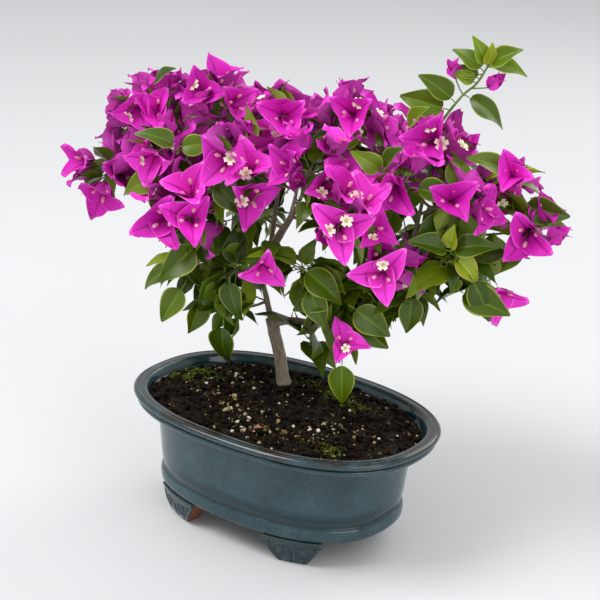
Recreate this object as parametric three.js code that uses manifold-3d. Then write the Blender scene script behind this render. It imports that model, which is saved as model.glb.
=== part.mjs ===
// A bougainvillea bonsai in an oval glazed pot, in millimetres, +Z up.
// +X runs along the pot's long side and -Y faces the pot's front. The origin is the bottom centre of
// the whole object's box, on the surface that the four feet stand on.
// The pot, its feet, the soil, the trunk, the boughs and every mass of foliage are separate solids.

import * as THREE from "three";
import { ImprovedNoise } from "three/addons/math/ImprovedNoise.js";
import { mergeVertices } from "three/addons/utils/BufferGeometryUtils.js";
import Module from "manifold-3d";

const wasm = await Module();
wasm.setup();

// ---- driving dimensions ----

const GAP = 0.35; // clear space between pieces that touch on the real object

const RIM_LONG = 120; // half the pot's length over its lip
const RIM_WIDE = 82; // half the pot's width over its lip
const RIM_TOP = 91.3;
const OVAL_POWER = 2.4; // 2 is an ellipse, more is squarer
const OVAL_SIDES = 36;
const WALL = 8; // thickness of the pot's wall
const BELT_UNDER = 20; // underside of the belt round the pot's foot
const BELT_SCALE = 0.796; // the belt's plan size against the lip's

const FOOT_CORNER = { along: 54, across: 58 }; // where a foot's middle meets the belt's outline
const FOOT_HALF_TOP = 22;
const FOOT_HALF_BOTTOM = 10.5;
const FOOT_INSET = 0.4; // the foot's outer face from the belt's outline, at the top
const FOOT_DEPTH = 15;
const TOE_TUCK = 5; // how far the outer face curls in at the ground

const SOIL_EDGE = 84; // soil level at the wall
const SOIL_TOP = 86; // level of the raised, flat middle
const SOIL_FLAT = 0.74; // share of the surface that is flat

const TRUNK_FOOT = { along: -30, across: 38 }; // on the pot, towards the back
const TRUNK_HEIGHT = 51;
const TRUNK_RADIUS = 4.7;
const ROOT_FLARE = 1.5; // added to the radius at soil level
const FORK_SWELL = 0.9; // added to the radius at the fork

const CROWN_TURN = THREE.MathUtils.degToRad(19); // the crown's length against the pot's
const LUMP = 0.2; // unevenness of a mass, as a share of its size
const FINE_MASS = 32; // a mass with a half size over this gets the finer ball

// ---- materials ----

const COLOURS = {
  glaze: { color: 0x4d6a74, roughness: 0.28 },
  foot_glaze: { color: 0x33474b, roughness: 0.4 },
  soil: { color: 0x2b2119, roughness: 1.0 },
  bark: { color: 0x86786a, roughness: 0.85 },
  stem: { color: 0x6d8236, roughness: 0.7 },
  blossom: { color: 0xb81aa8, roughness: 0.7 },
  foliage: { color: 0x3f6212, roughness: 0.65 },
};

function finish(slot) {
  return new THREE.MeshStandardMaterial({ ...COLOURS[slot], metalness: 0 });
}

// ---- solids ----

// A geometry with one vertex at each place, as the cuts need it.
function welded(geometry) {
  geometry.deleteAttribute("normal");
  geometry.deleteAttribute("uv");
  return mergeVertices(geometry, 1e-4);
}

function solidOf(geometry) {
  return new wasm.Manifold(
    new wasm.Mesh({
      numProp: 3,
      vertProperties: new Float32Array(geometry.attributes.position.array),
      triVerts: new Uint32Array(geometry.index.array),
    }),
  );
}

function geometryOf(solid) {
  const mesh = solid.getMesh();
  const geometry = new THREE.BufferGeometry();
  geometry.setAttribute("position", new THREE.BufferAttribute(mesh.vertProperties, 3));
  geometry.setIndex(new THREE.BufferAttribute(mesh.triVerts, 1));
  geometry.computeVertexNormals();
  return geometry;
}

// Cuts the others out of a solid, and keeps the largest piece that is left.
function cutBack(solid, others) {
  let left = solid;
  for (const other of others) left = left.subtract(other);
  const pieces = left.decompose();
  return pieces.reduce((best, piece) => (piece.volume() > best.volume() ? piece : best));
}

function piece(name, slot, geometry) {
  const mesh = new THREE.Mesh(geometry, finish(slot));
  mesh.name = name;
  return mesh;
}

// ---- the pot: an oval lathe ----

// A point of the rounded oval with the given half sizes, at an angle from +X.
function ovalPoint(halfLong, halfWide, angle) {
  const reach = (value) => Math.sign(value) * Math.abs(value) ** (2 / OVAL_POWER);
  return new THREE.Vector2(halfLong * reach(Math.cos(angle)), halfWide * reach(Math.sin(angle)));
}

function halfSizes({ scale = 1, inset = 0 }) {
  return { long: RIM_LONG * scale - inset, wide: RIM_WIDE * scale - inset };
}

// Revolves a profile and then gives each of its rings the pot's oval outline. A ring is the lip's
// outline scaled down and then inset evenly. The profile starts and ends on the axis.
function ovalLathe(rings) {
  const profile = rings.map((ring) => new THREE.Vector2(ring.axis ? 0 : halfSizes(ring).long, ring.up));
  const geometry = new THREE.LatheGeometry(profile, OVAL_SIDES);
  const position = geometry.attributes.position;
  for (let i = 0; i < position.count; i++) {
    const ring = rings[i % rings.length];
    const turn = Math.floor(i / rings.length) % OVAL_SIDES;
    const angle = -(turn / OVAL_SIDES) * Math.PI * 2;
    const half = ring.axis ? { long: 0, wide: 0 } : halfSizes(ring);
    const point = ovalPoint(half.long, half.wide, angle);
    position.setXYZ(i, point.x, -point.y, ring.up);
  }
  return welded(geometry);
}

const OUTSIDE = [
  { axis: true, up: BELT_UNDER + 1 },
  { scale: 0.7, up: BELT_UNDER + 1 },
  { scale: 0.72, up: BELT_UNDER },
  { scale: BELT_SCALE - 0.012, up: BELT_UNDER },
  { scale: BELT_SCALE + 0.006, up: BELT_UNDER + 3 },
  { scale: BELT_SCALE + 0.006, up: BELT_UNDER + 8 },
  { scale: BELT_SCALE - 0.014, up: BELT_UNDER + 11 },
  { scale: BELT_SCALE + 0.002, up: BELT_UNDER + 17 },
  { scale: 0.815, up: 58 },
  { scale: 0.842, up: 77 },
  { inset: 9, up: 79.2 },
  { inset: 2.4, up: 82 },
  { inset: 1.6, up: 85.2 },
  { inset: 0, up: 86.6 },
  { inset: 0, up: 89.6 },
  { inset: 1.6, up: RIM_TOP },
];
const INSIDE = [
  { inset: 8.8, up: RIM_TOP },
  { inset: 10, up: RIM_TOP - 1 },
  { inset: 12.5, up: SOIL_EDGE },
  { scale: 0.845, inset: WALL, up: 74 },
  { scale: 0.8, inset: WALL, up: 42 },
  { scale: 0.74, inset: WALL, up: 29 },
];
const FLOOR = 28;

const pot = new THREE.Group();
pot.add(
  piece(
    "pot_body",
    "glaze",
    ovalLathe([...OUTSIDE, ...INSIDE, { scale: 0.6, inset: WALL, up: FLOOR }, { axis: true, up: FLOOR }]),
  ),
);

// The soil fills the pot to just under its lip, and is nearly flat on top.
const soilSide = INSIDE.filter((ring) => ring.up <= SOIL_EDGE).map((ring) => ({
  ...ring,
  inset: ring.inset + GAP,
}));
pot.add(
  piece(
    "soil",
    "soil",
    ovalLathe([
      { axis: true, up: FLOOR + 2 },
      { scale: 0.6, inset: WALL + GAP, up: FLOOR + 2 },
      ...soilSide.reverse(),
      { scale: SOIL_FLAT, up: SOIL_TOP },
      { axis: true, up: SOIL_TOP },
    ]),
  ),
);

// ---- the feet: cloud brackets that follow the belt's corners ----

const beltHalf = halfSizes({ scale: BELT_SCALE });
const beltOutline = new THREE.CatmullRomCurve3(
  Array.from({ length: OVAL_SIDES }, (_, i) => {
    const point = ovalPoint(beltHalf.long, beltHalf.wide, (i / OVAL_SIDES) * Math.PI * 2);
    return new THREE.Vector3(point.x, point.y, 0);
  }),
  true,
);

// The share of the outline's length from +X to the place nearest the first foot.
function footShare() {
  const target = new THREE.Vector3(FOOT_CORNER.along, FOOT_CORNER.across, 0);
  const shares = Array.from({ length: 251 }, (_, i) => i / 1000);
  return shares.reduce((best, share) => {
    const nearer =
      beltOutline.getPointAt(share).distanceTo(target) < beltOutline.getPointAt(best).distanceTo(target);
    return nearer ? share : best;
  });
}

// A foot seen from outside: a ledge under the belt, then sides that draw in to a flat sole.
function footElevation() {
  const top = BELT_UNDER - GAP;
  const ledge = top - 3;
  const shape = new THREE.Shape();
  shape.moveTo(-FOOT_HALF_BOTTOM, 0);
  shape.lineTo(FOOT_HALF_BOTTOM, 0);
  shape.bezierCurveTo(FOOT_HALF_BOTTOM + 5, 3, FOOT_HALF_TOP - 4, ledge - 5, FOOT_HALF_TOP, ledge);
  shape.lineTo(FOOT_HALF_TOP, top);
  shape.lineTo(-FOOT_HALF_TOP, top);
  shape.lineTo(-FOOT_HALF_TOP, ledge);
  shape.bezierCurveTo(4 - FOOT_HALF_TOP, ledge - 5, -FOOT_HALF_BOTTOM - 5, 3, -FOOT_HALF_BOTTOM, 0);
  return shape;
}

function footGeometry(middle) {
  const geometry = new THREE.ExtrudeGeometry(footElevation(), {
    depth: FOOT_DEPTH,
    bevelEnabled: false,
    curveSegments: 5,
  });
  const position = geometry.attributes.position;
  const length = beltOutline.getLength();
  for (let i = 0; i < position.count; i++) {
    const share = (middle + position.getX(i) / length + 1) % 1;
    const up = position.getY(i);
    const outward = position.getZ(i) / FOOT_DEPTH; // 0 on the inner face, 1 on the outer
    const tuck = TOE_TUCK * (1 - up / BELT_UNDER) ** 3;
    const inset = FOOT_INSET + tuck * outward + (1 - outward) * FOOT_DEPTH;
    const place = beltOutline.getPointAt(share);
    const tangent = beltOutline.getTangentAt(share);
    const inward = new THREE.Vector3(-tangent.y, tangent.x, 0);
    place.addScaledVector(inward, inset);
    position.setXYZ(i, place.x, place.y, up);
  }
  return welded(geometry);
}

const cornerShare = footShare();
const FEET = {
  foot_back_right: cornerShare,
  foot_back_left: 0.5 - cornerShare,
  foot_front_left: 0.5 + cornerShare,
  foot_front_right: 1 - cornerShare,
};
for (const [name, middle] of Object.entries(FEET)) pot.add(piece(name, "foot_glaze", footGeometry(middle)));

// ---- the plant, in its own frame: x along the crown, -y to its front, origin under the trunk ----

// A place on the plant, from how far along the crown, to its front and above the ground it is.
function at(along, front, up) {
  return new THREE.Vector3(along, -front, up);
}

// A tapering limb along a smooth curve, with flat ends. A level limb keeps its sections horizontal.
function limb({ route, radiusAt, sides = 7, steps = 6, level = false }, grow = 0) {
  const curve = new THREE.CatmullRomCurve3(route);
  const frames = curve.computeFrenetFrames(steps, false);
  const geometry = welded(new THREE.CylinderGeometry(1, 1, 1, sides, steps));
  const position = geometry.attributes.position;
  for (let i = 0; i < position.count; i++) {
    const step = Math.round((position.getY(i) + 0.5) * steps);
    const share = step / steps;
    const size = radiusAt(share) + grow;
    const place = curve.getPointAt(share);
    const normal = level ? new THREE.Vector3(1, 0, 0) : frames.normals[step];
    const binormal = level ? new THREE.Vector3(0, 1, 0) : frames.binormals[step];
    place.addScaledVector(normal, position.getX(i) * size);
    place.addScaledVector(binormal, -position.getZ(i) * size);
    position.setXYZ(i, place.x, place.y, place.z);
  }
  return solidOf(geometry);
}

function taper(start, end) {
  return (share) => start + (end - start) * share;
}

const trunkFoot = SOIL_TOP + GAP;
const fork = trunkFoot + TRUNK_HEIGHT;
const TRUNK = {
  route: [at(1, 0, trunkFoot), at(-3, 0, trunkFoot + 20), at(-8, 0, fork - 13), at(-11, 0, fork)],
  radiusAt: (share) =>
    TRUNK_RADIUS + ROOT_FLARE * Math.exp(-share / 0.07) + FORK_SWELL * Math.exp((share - 1) / 0.08),
  sides: 10,
  steps: 8,
  level: true,
};

// Each bough runs from the fork, or from the bough before it, into the mass that it carries.
const BOUGHS = {
  leader: {
    route: [at(-11.5, 0, fork + GAP), at(-16, 0, 152), at(-21, -2, 172), at(-15, -2, 200), at(-8, 2, 276)],
    radiusAt: taper(2.8, 1.7),
  },
  bough_right: {
    route: [at(-11, 0, fork - 3.5), at(8, 3, 139.5), at(24, 8, 142), at(40, 12, 156), at(52, 16, 176)],
    radiusAt: taper(3.2, 1.8),
  },
  bough_left: {
    route: [at(-20, -2, 176), at(-38, 6, 196), at(-56, 18, 212), at(-66, 30, 234)],
    radiusAt: taper(2.3, 1.4),
  },
  bough_front: {
    route: [at(-17, -2, 190), at(-6, 12, 206), at(8, 30, 228), at(18, 46, 258)],
    radiusAt: taper(2.1, 1.4),
  },
  bough_back: {
    route: [at(-19, -4, 182), at(-14, -22, 196), at(-8, -42, 216), at(-2, -56, 248)],
    radiusAt: taper(2.2, 1.4),
  },
  bough_far_right: {
    route: [at(26, 8, 144), at(56, 2, 158), at(88, 4, 196), at(100, 2, 262)],
    radiusAt: taper(2.4, 1.5),
  },
};

// The masses: middle, then half sizes along the crown, front to back, and up.
const MASSES = {
  blossom_left_end: [at(-145, 4, 239), 25, 30, 26],
  blossom_left_top: [at(-111, 0, 287), 31, 34, 23],
  blossom_peak: [at(-61, -4, 297), 30, 34, 24],
  blossom_left_middle: [at(-88, 26, 262), 34, 30, 26],
  blossom_left_lower: [at(-62, 48, 226), 38, 30, 27],
  blossom_centre_left: [at(-24, 46, 264), 28, 30, 28],
  blossom_centre_top: [at(-6, 4, 290), 30, 36, 25],
  blossom_centre_top_right: [at(42, 0, 294), 27, 34, 25],
  blossom_centre_front: [at(30, 54, 270), 31, 30, 25],
  blossom_centre_low: [at(60, 74, 246), 32, 26, 26],
  blossom_right_top: [at(102, 0, 284), 31, 34, 24],
  blossom_right_centre: [at(90, 42, 264), 28, 28, 25],
  blossom_right_middle: [at(128, 44, 256), 30, 28, 24],
  blossom_right_upper_end: [at(153, 0, 263), 29, 28, 19],
  blossom_right_end: [at(176, 14, 238), 28, 26, 20],
  blossom_front_low: [at(88, 70, 212), 27, 22, 19],
  blossom_left_single: [at(-2, 58, 202), 18, 17, 20],
  blossom_low_single: [at(57, 45, 138), 18, 15, 27],
  foliage_centre: [at(24, 46, 196), 30, 20, 24],
  foliage_centre_left: [at(-26, 40, 184), 24, 20, 22],
  blossom_back_left_end: [at(-108, -44, 248), 36, 32, 28],
  blossom_back_left: [at(-58, -62, 254), 36, 32, 32],
  blossom_back_centre: [at(-2, -62, 262), 36, 34, 33],
  blossom_back_right: [at(54, -62, 256), 35, 32, 31],
  blossom_back_right_end: [at(112, -44, 244), 36, 32, 28],
  foliage_right_lower: [at(130, 40, 214), 32, 28, 24],
  foliage_right_low: [at(150, 10, 192), 18, 20, 15],
  foliage_right: [at(54, 28, 174), 36, 28, 25],
  foliage_far_right: [at(98, 12, 177), 26, 26, 20],
  foliage_under_right: [at(23, 10, 128), 14, 13, 15],
  foliage_left: [at(-74, 10, 170), 34, 28, 22],
  foliage_left_low: [at(-40, 22, 150), 24, 18, 26],
  foliage_back_left: [at(-48, -60, 202), 34, 28, 24],
  foliage_back_right: [at(38, -64, 198), 34, 28, 24],
  foliage_back_end: [at(96, -32, 206), 30, 26, 22],
  shoot_leaves_low: [at(96, 0, 326), 18, 15, 17],
  shoot_leaves_side: [at(144, 0, 314), 18, 13, 13],
  shoot_leaves_tip: [at(135, 0, 349), 22, 16, 18],
};
const SHOOT_STEM = {
  route: [at(105, 0, 300), at(118, 0, 321), at(128, 0, 331.5), at(135, 0, 345)],
  radiusAt: taper(1.5, 1),
  sides: 6,
};

// One closed, uneven mass: a ball of triangles pushed in and out by smooth noise, then stretched.
function mass([middle, long, deep, tall], seed, grow = 0) {
  const noise = new ImprovedNoise();
  const detail = Math.max(long, deep, tall) > FINE_MASS ? 2 : 1;
  const geometry = welded(new THREE.IcosahedronGeometry(1, detail));
  const position = geometry.attributes.position;
  const half = new THREE.Vector3(long, deep, tall);
  const point = new THREE.Vector3();
  for (let i = 0; i < position.count; i++) {
    point.fromBufferAttribute(position, i).normalize();
    const coarse = noise.noise(point.x * 1.5 + seed * 7.3, point.y * 1.5 + seed * 3.1, point.z * 1.5);
    const fine = noise.noise(point.x * 3.4, point.y * 3.4 + seed * 5.7, point.z * 3.4 + seed);
    point.multiplyScalar(1 + LUMP * coarse + 0.5 * LUMP * fine).multiply(half);
    point.addScaledVector(point.clone().normalize(), grow).add(middle);
    position.setXYZ(i, point.x, point.y, point.z);
  }
  return solidOf(geometry);
}

const plant = new THREE.Group();
plant.position.set(TRUNK_FOOT.along, TRUNK_FOOT.across, 0);
plant.rotation.z = CROWN_TURN;

plant.add(piece("trunk", "bark", geometryOf(limb(TRUNK))));

// Limbs are cut clear of the limbs before them, and end where they enter a mass.
const stem = limb(SHOOT_STEM);
const stemSpace = limb(SHOOT_STEM, GAP);
const massSpaces = {};
const massSolids = {};
Object.entries(MASSES).forEach(([name, sizes], index) => {
  massSolids[name] = cutBack(mass(sizes, index + 1), Object.values(massSpaces));
  massSpaces[name] = mass(sizes, index + 1, 2 * GAP);
});

const limbSpaces = [limb(TRUNK, GAP)];
for (const [name, sizes] of Object.entries(BOUGHS)) {
  const others = [...limbSpaces, ...Object.values(massSpaces)];
  plant.add(piece(name, "bark", geometryOf(cutBack(limb(sizes), others))));
  limbSpaces.push(limb(sizes, GAP));
}
// The stem keeps its whole length beside the leaves at its side, which are cut clear of it below.
const { shoot_leaves_side, ...carried } = massSpaces;
plant.add(piece("shoot_stem", "stem", geometryOf(cutBack(stem, Object.values(carried)))));

for (const [name, solid] of Object.entries(massSolids)) {
  const clear = cutBack(solid, [stemSpace]);
  plant.add(piece(name, name.startsWith("blossom") ? "blossom" : "foliage", geometryOf(clear)));
}

// ---- the whole, with its origin under the middle of its box ----

const bonsai = new THREE.Group();
bonsai.add(pot, plant);
const whole = new THREE.Group();
whole.add(bonsai);
const box = new THREE.Box3().setFromObject(whole, true);
bonsai.position.set(-(box.min.x + box.max.x) / 2, -(box.min.y + box.max.y) / 2, -box.min.z);

export default whole;
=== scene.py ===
"""A bougainvillea bonsai in full flower, in an oval glazed pot on four scroll feet.

The pot, soil and wood are modelled piece by piece. The crown grows from the boughs by a seeded rule:
each mass gets a branch from the nearest bough, twigs fan out from it to the mass's outer surface, and
each twig ends in a spray of leaves or of blossom.
"""

import math
import random

import bpy
import numpy as np
from mathutils import Matrix, Vector, noise
from mathutils.bvhtree import BVHTree


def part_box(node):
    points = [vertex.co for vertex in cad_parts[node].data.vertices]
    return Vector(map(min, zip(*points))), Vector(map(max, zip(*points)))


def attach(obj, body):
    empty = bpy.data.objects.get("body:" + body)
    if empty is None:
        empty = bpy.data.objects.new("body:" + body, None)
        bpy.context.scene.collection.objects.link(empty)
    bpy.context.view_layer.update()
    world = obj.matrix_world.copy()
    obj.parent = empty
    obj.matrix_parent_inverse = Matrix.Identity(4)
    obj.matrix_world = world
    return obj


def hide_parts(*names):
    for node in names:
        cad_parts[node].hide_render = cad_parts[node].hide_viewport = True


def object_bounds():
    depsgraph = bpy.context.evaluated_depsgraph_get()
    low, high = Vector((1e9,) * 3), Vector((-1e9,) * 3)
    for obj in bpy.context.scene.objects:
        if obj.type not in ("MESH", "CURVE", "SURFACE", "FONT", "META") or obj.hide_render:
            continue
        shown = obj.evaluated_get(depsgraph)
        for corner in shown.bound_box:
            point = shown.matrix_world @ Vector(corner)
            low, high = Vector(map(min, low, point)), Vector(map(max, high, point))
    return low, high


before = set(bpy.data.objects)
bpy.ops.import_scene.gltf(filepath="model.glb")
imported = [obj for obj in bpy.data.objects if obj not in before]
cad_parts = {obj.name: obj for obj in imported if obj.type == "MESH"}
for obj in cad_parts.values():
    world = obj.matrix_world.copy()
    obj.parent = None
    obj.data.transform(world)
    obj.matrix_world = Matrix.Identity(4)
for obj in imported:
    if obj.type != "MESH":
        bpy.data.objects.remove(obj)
cad_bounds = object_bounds()

MM = 0.001
SEED = 11

# ---- sizes, in millimetres ----

OVAL_POWER = 2.4  # 2 is an ellipse, more is squarer
POT_SIDES = 96
BELT_SCALE = 0.796  # the belt's plan size against the lip's
BELT_UNDER = 20

FOOT_HALF_TOP = 22
FOOT_HALF_SOLE = 10.5
FOOT_LEDGE = 3
FOOT_HEIGHT = 19.8
FOOT_DEPTH = 15
FOOT_INSET = 0.4
TOE_TUCK = 5
FOOT_CORNER = (54, 58)  # where a foot's middle meets the belt, from the pot's middle

SOIL_UNDER = 80
SOIL_EDGE = 84
SOIL_HALF = (106, 68.5)  # of the oval that grit and moss lie on
SOIL_TOP = 86
SOIL_DOME = (108, 70)  # half sizes of the oval that the soil's rise is measured on
SOIL_INSET = 11.6  # of the soil's edge, from the lip's outline
SOIL_RINGS = 44

TRUNK_FOOT = (-30, 38)
TRUNK_CLEAR = 8.5  # no crumb lies nearer to the trunk's middle
CROWN_TURN = math.radians(19)
TRUNK_HEIGHT = 51

FULL_TURN = 6.28
HALF_TURN = 3.14
STAR_TURN = 6
ZONES = 4  # colours of one leaf or bract

LEAF_LONG = 36
LEAF_WIDE = 22.5
BRACT_LONG = 29
BRACT_WIDE = 23
TRIAD_SPACING = 13.5
SPRAY_SPACING = 15

CAMERA_AZIMUTH = 35.4
CAMERA_ELEVATION = 19.2
CAMERA_ROLL = 3.2
CAMERA_PLACE = (593.1, -822.0, 524.1)  # from the middle of the pot's footprint
LENS_LENGTH = 90
FILM_WIDTH = 36


# ---- places ----

pot_low, pot_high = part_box("pot_body")
POT_MIDDLE = (pot_low + pot_high) / 2
POT_MIDDLE.z = 0
RIM_LONG = (pot_high.x - pot_low.x) / 2 / MM
RIM_WIDE = (pot_high.y - pot_low.y) / 2 / MM


def on_pot(along, across, up):
    """A place given in millimetres from the middle of the pot's footprint."""
    return POT_MIDDLE + Vector((along, across, up)) * MM


def on_plant(along, front, up):
    """A place in millimetres along the crown, towards its front, and above the ground."""
    cosine, sine = math.cos(CROWN_TURN), math.sin(CROWN_TURN)
    return on_pot(
        TRUNK_FOOT[0] + along * cosine + front * sine,
        TRUNK_FOOT[1] + along * sine - front * cosine,
        up,
    )


def heading(turn, rise):
    """A direction by its turn from the crown's length, towards its front, and its rise, in degrees."""
    turn, rise = math.radians(turn), math.radians(rise)
    along, front = math.cos(turn) * math.cos(rise), math.sin(turn) * math.cos(rise)
    return (on_plant(along, front, math.sin(rise)) - on_plant(0, 0, 0)).normalized()


def colour(code):
    """Linear colour from an RRGGBB code."""
    parts = [int(code[i : i + 2], 16) / 255 for i in (0, 2, 4)]
    linear = [p / 12.92 if p <= 0.04045 else ((p + 0.055) / 1.055) ** 2.4 for p in parts]
    return (*linear, 1.0)


# ---- modelling tools ----


def deselect():
    if bpy.context.object and bpy.context.object.mode != "OBJECT":
        bpy.ops.object.mode_set(mode="OBJECT")
    bpy.ops.object.select_all(action="DESELECT")


def new_piece(name, add, **sizes):
    deselect()
    add(**sizes)
    piece = bpy.context.object
    piece.name = piece.data.name = name
    return piece


def activate(piece):
    deselect()
    bpy.context.view_layer.objects.active = piece
    piece.select_set(True)


def edit(piece, mode="VERT"):
    activate(piece)
    bpy.ops.object.mode_set(mode="EDIT")
    bpy.ops.mesh.select_mode(type=mode)


def pick_points(piece, wanted):
    """Selects the vertices that the test accepts, and leaves the piece in edit mode."""
    edit(piece)
    bpy.ops.mesh.select_all(action="DESELECT")
    bpy.ops.object.mode_set(mode="OBJECT")
    for vertex in piece.data.vertices:
        vertex.select = bool(wanted(vertex))
    bpy.ops.object.mode_set(mode="EDIT")


def place_points(piece, move):
    for vertex in piece.data.vertices:
        vertex.co = move(vertex.co.copy())
    piece.data.update()


def apply_modifier(piece, kind, **settings):
    modifier = piece.modifiers.new(kind.lower(), kind)
    for key, value in settings.items():
        setattr(modifier, key, value)
    activate(piece)
    bpy.ops.object.modifier_apply(modifier=modifier.name)


def soften(piece, angle=40):
    activate(piece)
    bpy.ops.object.shade_smooth_by_angle(angle=math.radians(angle))


def face_outwards(piece):
    edit(piece)
    bpy.ops.mesh.select_all(action="SELECT")
    bpy.ops.mesh.remove_doubles(threshold=0.001 * MM)
    bpy.ops.mesh.normals_make_consistent(inside=False)
    bpy.ops.object.mode_set(mode="OBJECT")


def shell_arrays(piece):
    """The points, the corner list, the sides of each face and its slot, for making joined copies."""
    mesh = piece.data
    points = np.array([v.co for v in mesh.vertices])
    corners = np.array([i for p in mesh.polygons for i in p.vertices], np.int64)
    sides = np.array([len(p.vertices) for p in mesh.polygons], np.int64)
    slots = np.array([p.material_index for p in mesh.polygons], np.int64)
    return points, corners, sides, slots


def take_pattern(piece):
    """Keeps a modelled pattern's arrays and removes its object."""
    arrays = shell_arrays(piece)
    mesh = piece.data
    bpy.data.objects.remove(piece)
    bpy.data.meshes.remove(mesh)
    return arrays


def joined(name, copies, materials, angle=50):
    """One piece from many placed copies: each is a pattern, its place and the tint that it takes."""
    points, corners, sides, slots, start = [], [], [], [], 0
    for pattern, place, tint in copies:
        shape, around, count, zone = pattern
        turn = np.array(place.to_3x3())
        points.append(shape @ turn.T + np.array(place.translation))
        corners.append(around + start)
        sides.append(count)
        slots.append(zone + tint)
        start += len(shape)
    points, corners = np.concatenate(points), np.concatenate(corners)
    sides, slots = np.concatenate(sides), np.concatenate(slots)
    mesh = bpy.data.meshes.new(name)
    mesh.vertices.add(len(points))
    mesh.vertices.foreach_set("co", points.astype(np.float32).ravel())
    mesh.loops.add(len(corners))
    mesh.loops.foreach_set("vertex_index", corners.astype(np.int32))
    mesh.polygons.add(len(sides))
    begins = np.concatenate(([0], np.cumsum(sides)[:-1]))
    mesh.polygons.foreach_set("loop_start", begins.astype(np.int32))
    for material in materials:
        mesh.materials.append(material)
    mesh.polygons.foreach_set("material_index", slots.astype(np.int32))
    mesh.update(calc_edges=True)
    mesh.validate()
    piece = bpy.data.objects.new(name, mesh)
    bpy.context.scene.collection.objects.link(piece)
    soften(piece, angle)
    return piece


def turned(name, rings, sides, reach=lambda value: value):
    """A closed piece turned from rings of (half long, half wide, height), extruded one by one."""
    long, wide, up = rings[0]
    piece = new_piece(name, bpy.ops.mesh.primitive_circle_add, vertices=sides, fill_type="TRIFAN")
    place_points(piece, lambda p: Vector((reach(p.x) * long, reach(p.y) * wide, up)) * MM)
    pick_points(piece, lambda v: v.co.xy.length > 1e-7)
    for next_long, next_wide, next_up in rings[1:]:
        rise = {"value": (0, 0, (next_up - up) * MM)}
        bpy.ops.mesh.extrude_edges_move(TRANSFORM_OT_translate=rise)
        grow = (next_long / long, next_wide / wide, 1)
        bpy.ops.transform.resize(value=grow, center_override=(0, 0, next_up * MM))
        long, wide, up = next_long, next_wide, next_up
    bpy.ops.mesh.merge(type="CENTER")
    face_outwards(piece)
    return piece


# ---- shader tools ----


def node(tree, kind, settings=None, **inputs):
    """Adds a node. An input is a value, or the output socket that feeds it."""
    made = tree.nodes.new("ShaderNode" + kind)
    for key, value in (settings or {}).items():
        setattr(made, key, value)
    for key, value in inputs.items():
        key = key.replace("_", " ")
        socket = made.inputs[int(key[1:]) if key[0] == "i" and key[1:].isdigit() else key]
        if isinstance(value, bpy.types.NodeSocket):
            tree.links.new(value, socket)
        else:
            socket.default_value = value
    return made


def shader_group(name, inputs, outputs):
    tree = bpy.data.node_groups.new(name, "ShaderNodeTree")
    for key, (kind, value) in inputs.items():
        socket = tree.interface.new_socket(name=key, in_out="INPUT", socket_type="NodeSocket" + kind)
        if value is not None:
            socket.default_value = value
    for key, kind in outputs.items():
        tree.interface.new_socket(name=key, in_out="OUTPUT", socket_type="NodeSocket" + kind)
    return tree, tree.nodes.new("NodeGroupInput"), tree.nodes.new("NodeGroupOutput")


def material(name, **plain):
    """A material with its Principled shader and the plain values set on the shader's sockets."""
    made = bpy.data.materials.new(name)
    made.use_nodes = True
    shader = made.node_tree.nodes["Principled BSDF"]
    for key, value in plain.items():
        shader.inputs[key.replace("_", " ")].default_value = value
    return made, made.node_tree, shader


def use_group(tree, group, **inputs):
    return node(tree, "Group", {"node_tree": group}, **inputs).outputs


def specks_group():
    """Scattered specks: 1 on a speck and 0 between, with uneven sizes."""
    tree, given, out = shader_group(
        "specks",
        {"Position": ("Vector", None), "Density": ("Float", 700.0), "Amount": ("Float", 0.3)},
        {"Mask": "Float"},
    )
    cells = node(
        tree, "TexVoronoi", Vector=given.outputs["Position"], Scale=given.outputs["Density"]
    )
    parts = node(tree, "SeparateColor", Color=cells.outputs["Color"])
    limit = node(tree, "Math", {"operation": "MULTIPLY"}, i0=parts.outputs[0], i1=given.outputs["Amount"])
    mask = node(tree, "Math", {"operation": "LESS_THAN"}, i0=cells.outputs["Distance"], i1=limit.outputs[0])
    tree.links.new(mask.outputs[0], out.inputs["Mask"])
    return tree


def band_group():
    """1 between two heights on the object, with soft ends, for glaze that pools or thins."""
    tree, given, out = shader_group(
        "height_band",
        {
            "Position": ("Vector", None),
            "Low": ("Float", 0.0),
            "High": ("Float", 0.1),
            "Soft": ("Float", 0.002),
        },
        {"Mask": "Float"},
    )
    height = node(tree, "SeparateXYZ", Vector=given.outputs["Position"]).outputs["Z"]
    from_low = node(tree, "Math", {"operation": "SUBTRACT"}, i0=height, i1=given.outputs["Low"])
    to_high = node(tree, "Math", {"operation": "SUBTRACT"}, i0=given.outputs["High"], i1=height)
    inner = node(tree, "Math", {"operation": "MINIMUM"}, i0=from_low.outputs[0], i1=to_high.outputs[0])
    soft = node(
        tree,
        "Math",
        {"operation": "DIVIDE", "use_clamp": True},
        i0=inner.outputs[0],
        i1=given.outputs["Soft"],
    )
    tree.links.new(soft.outputs[0], out.inputs["Mask"])
    return tree


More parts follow.
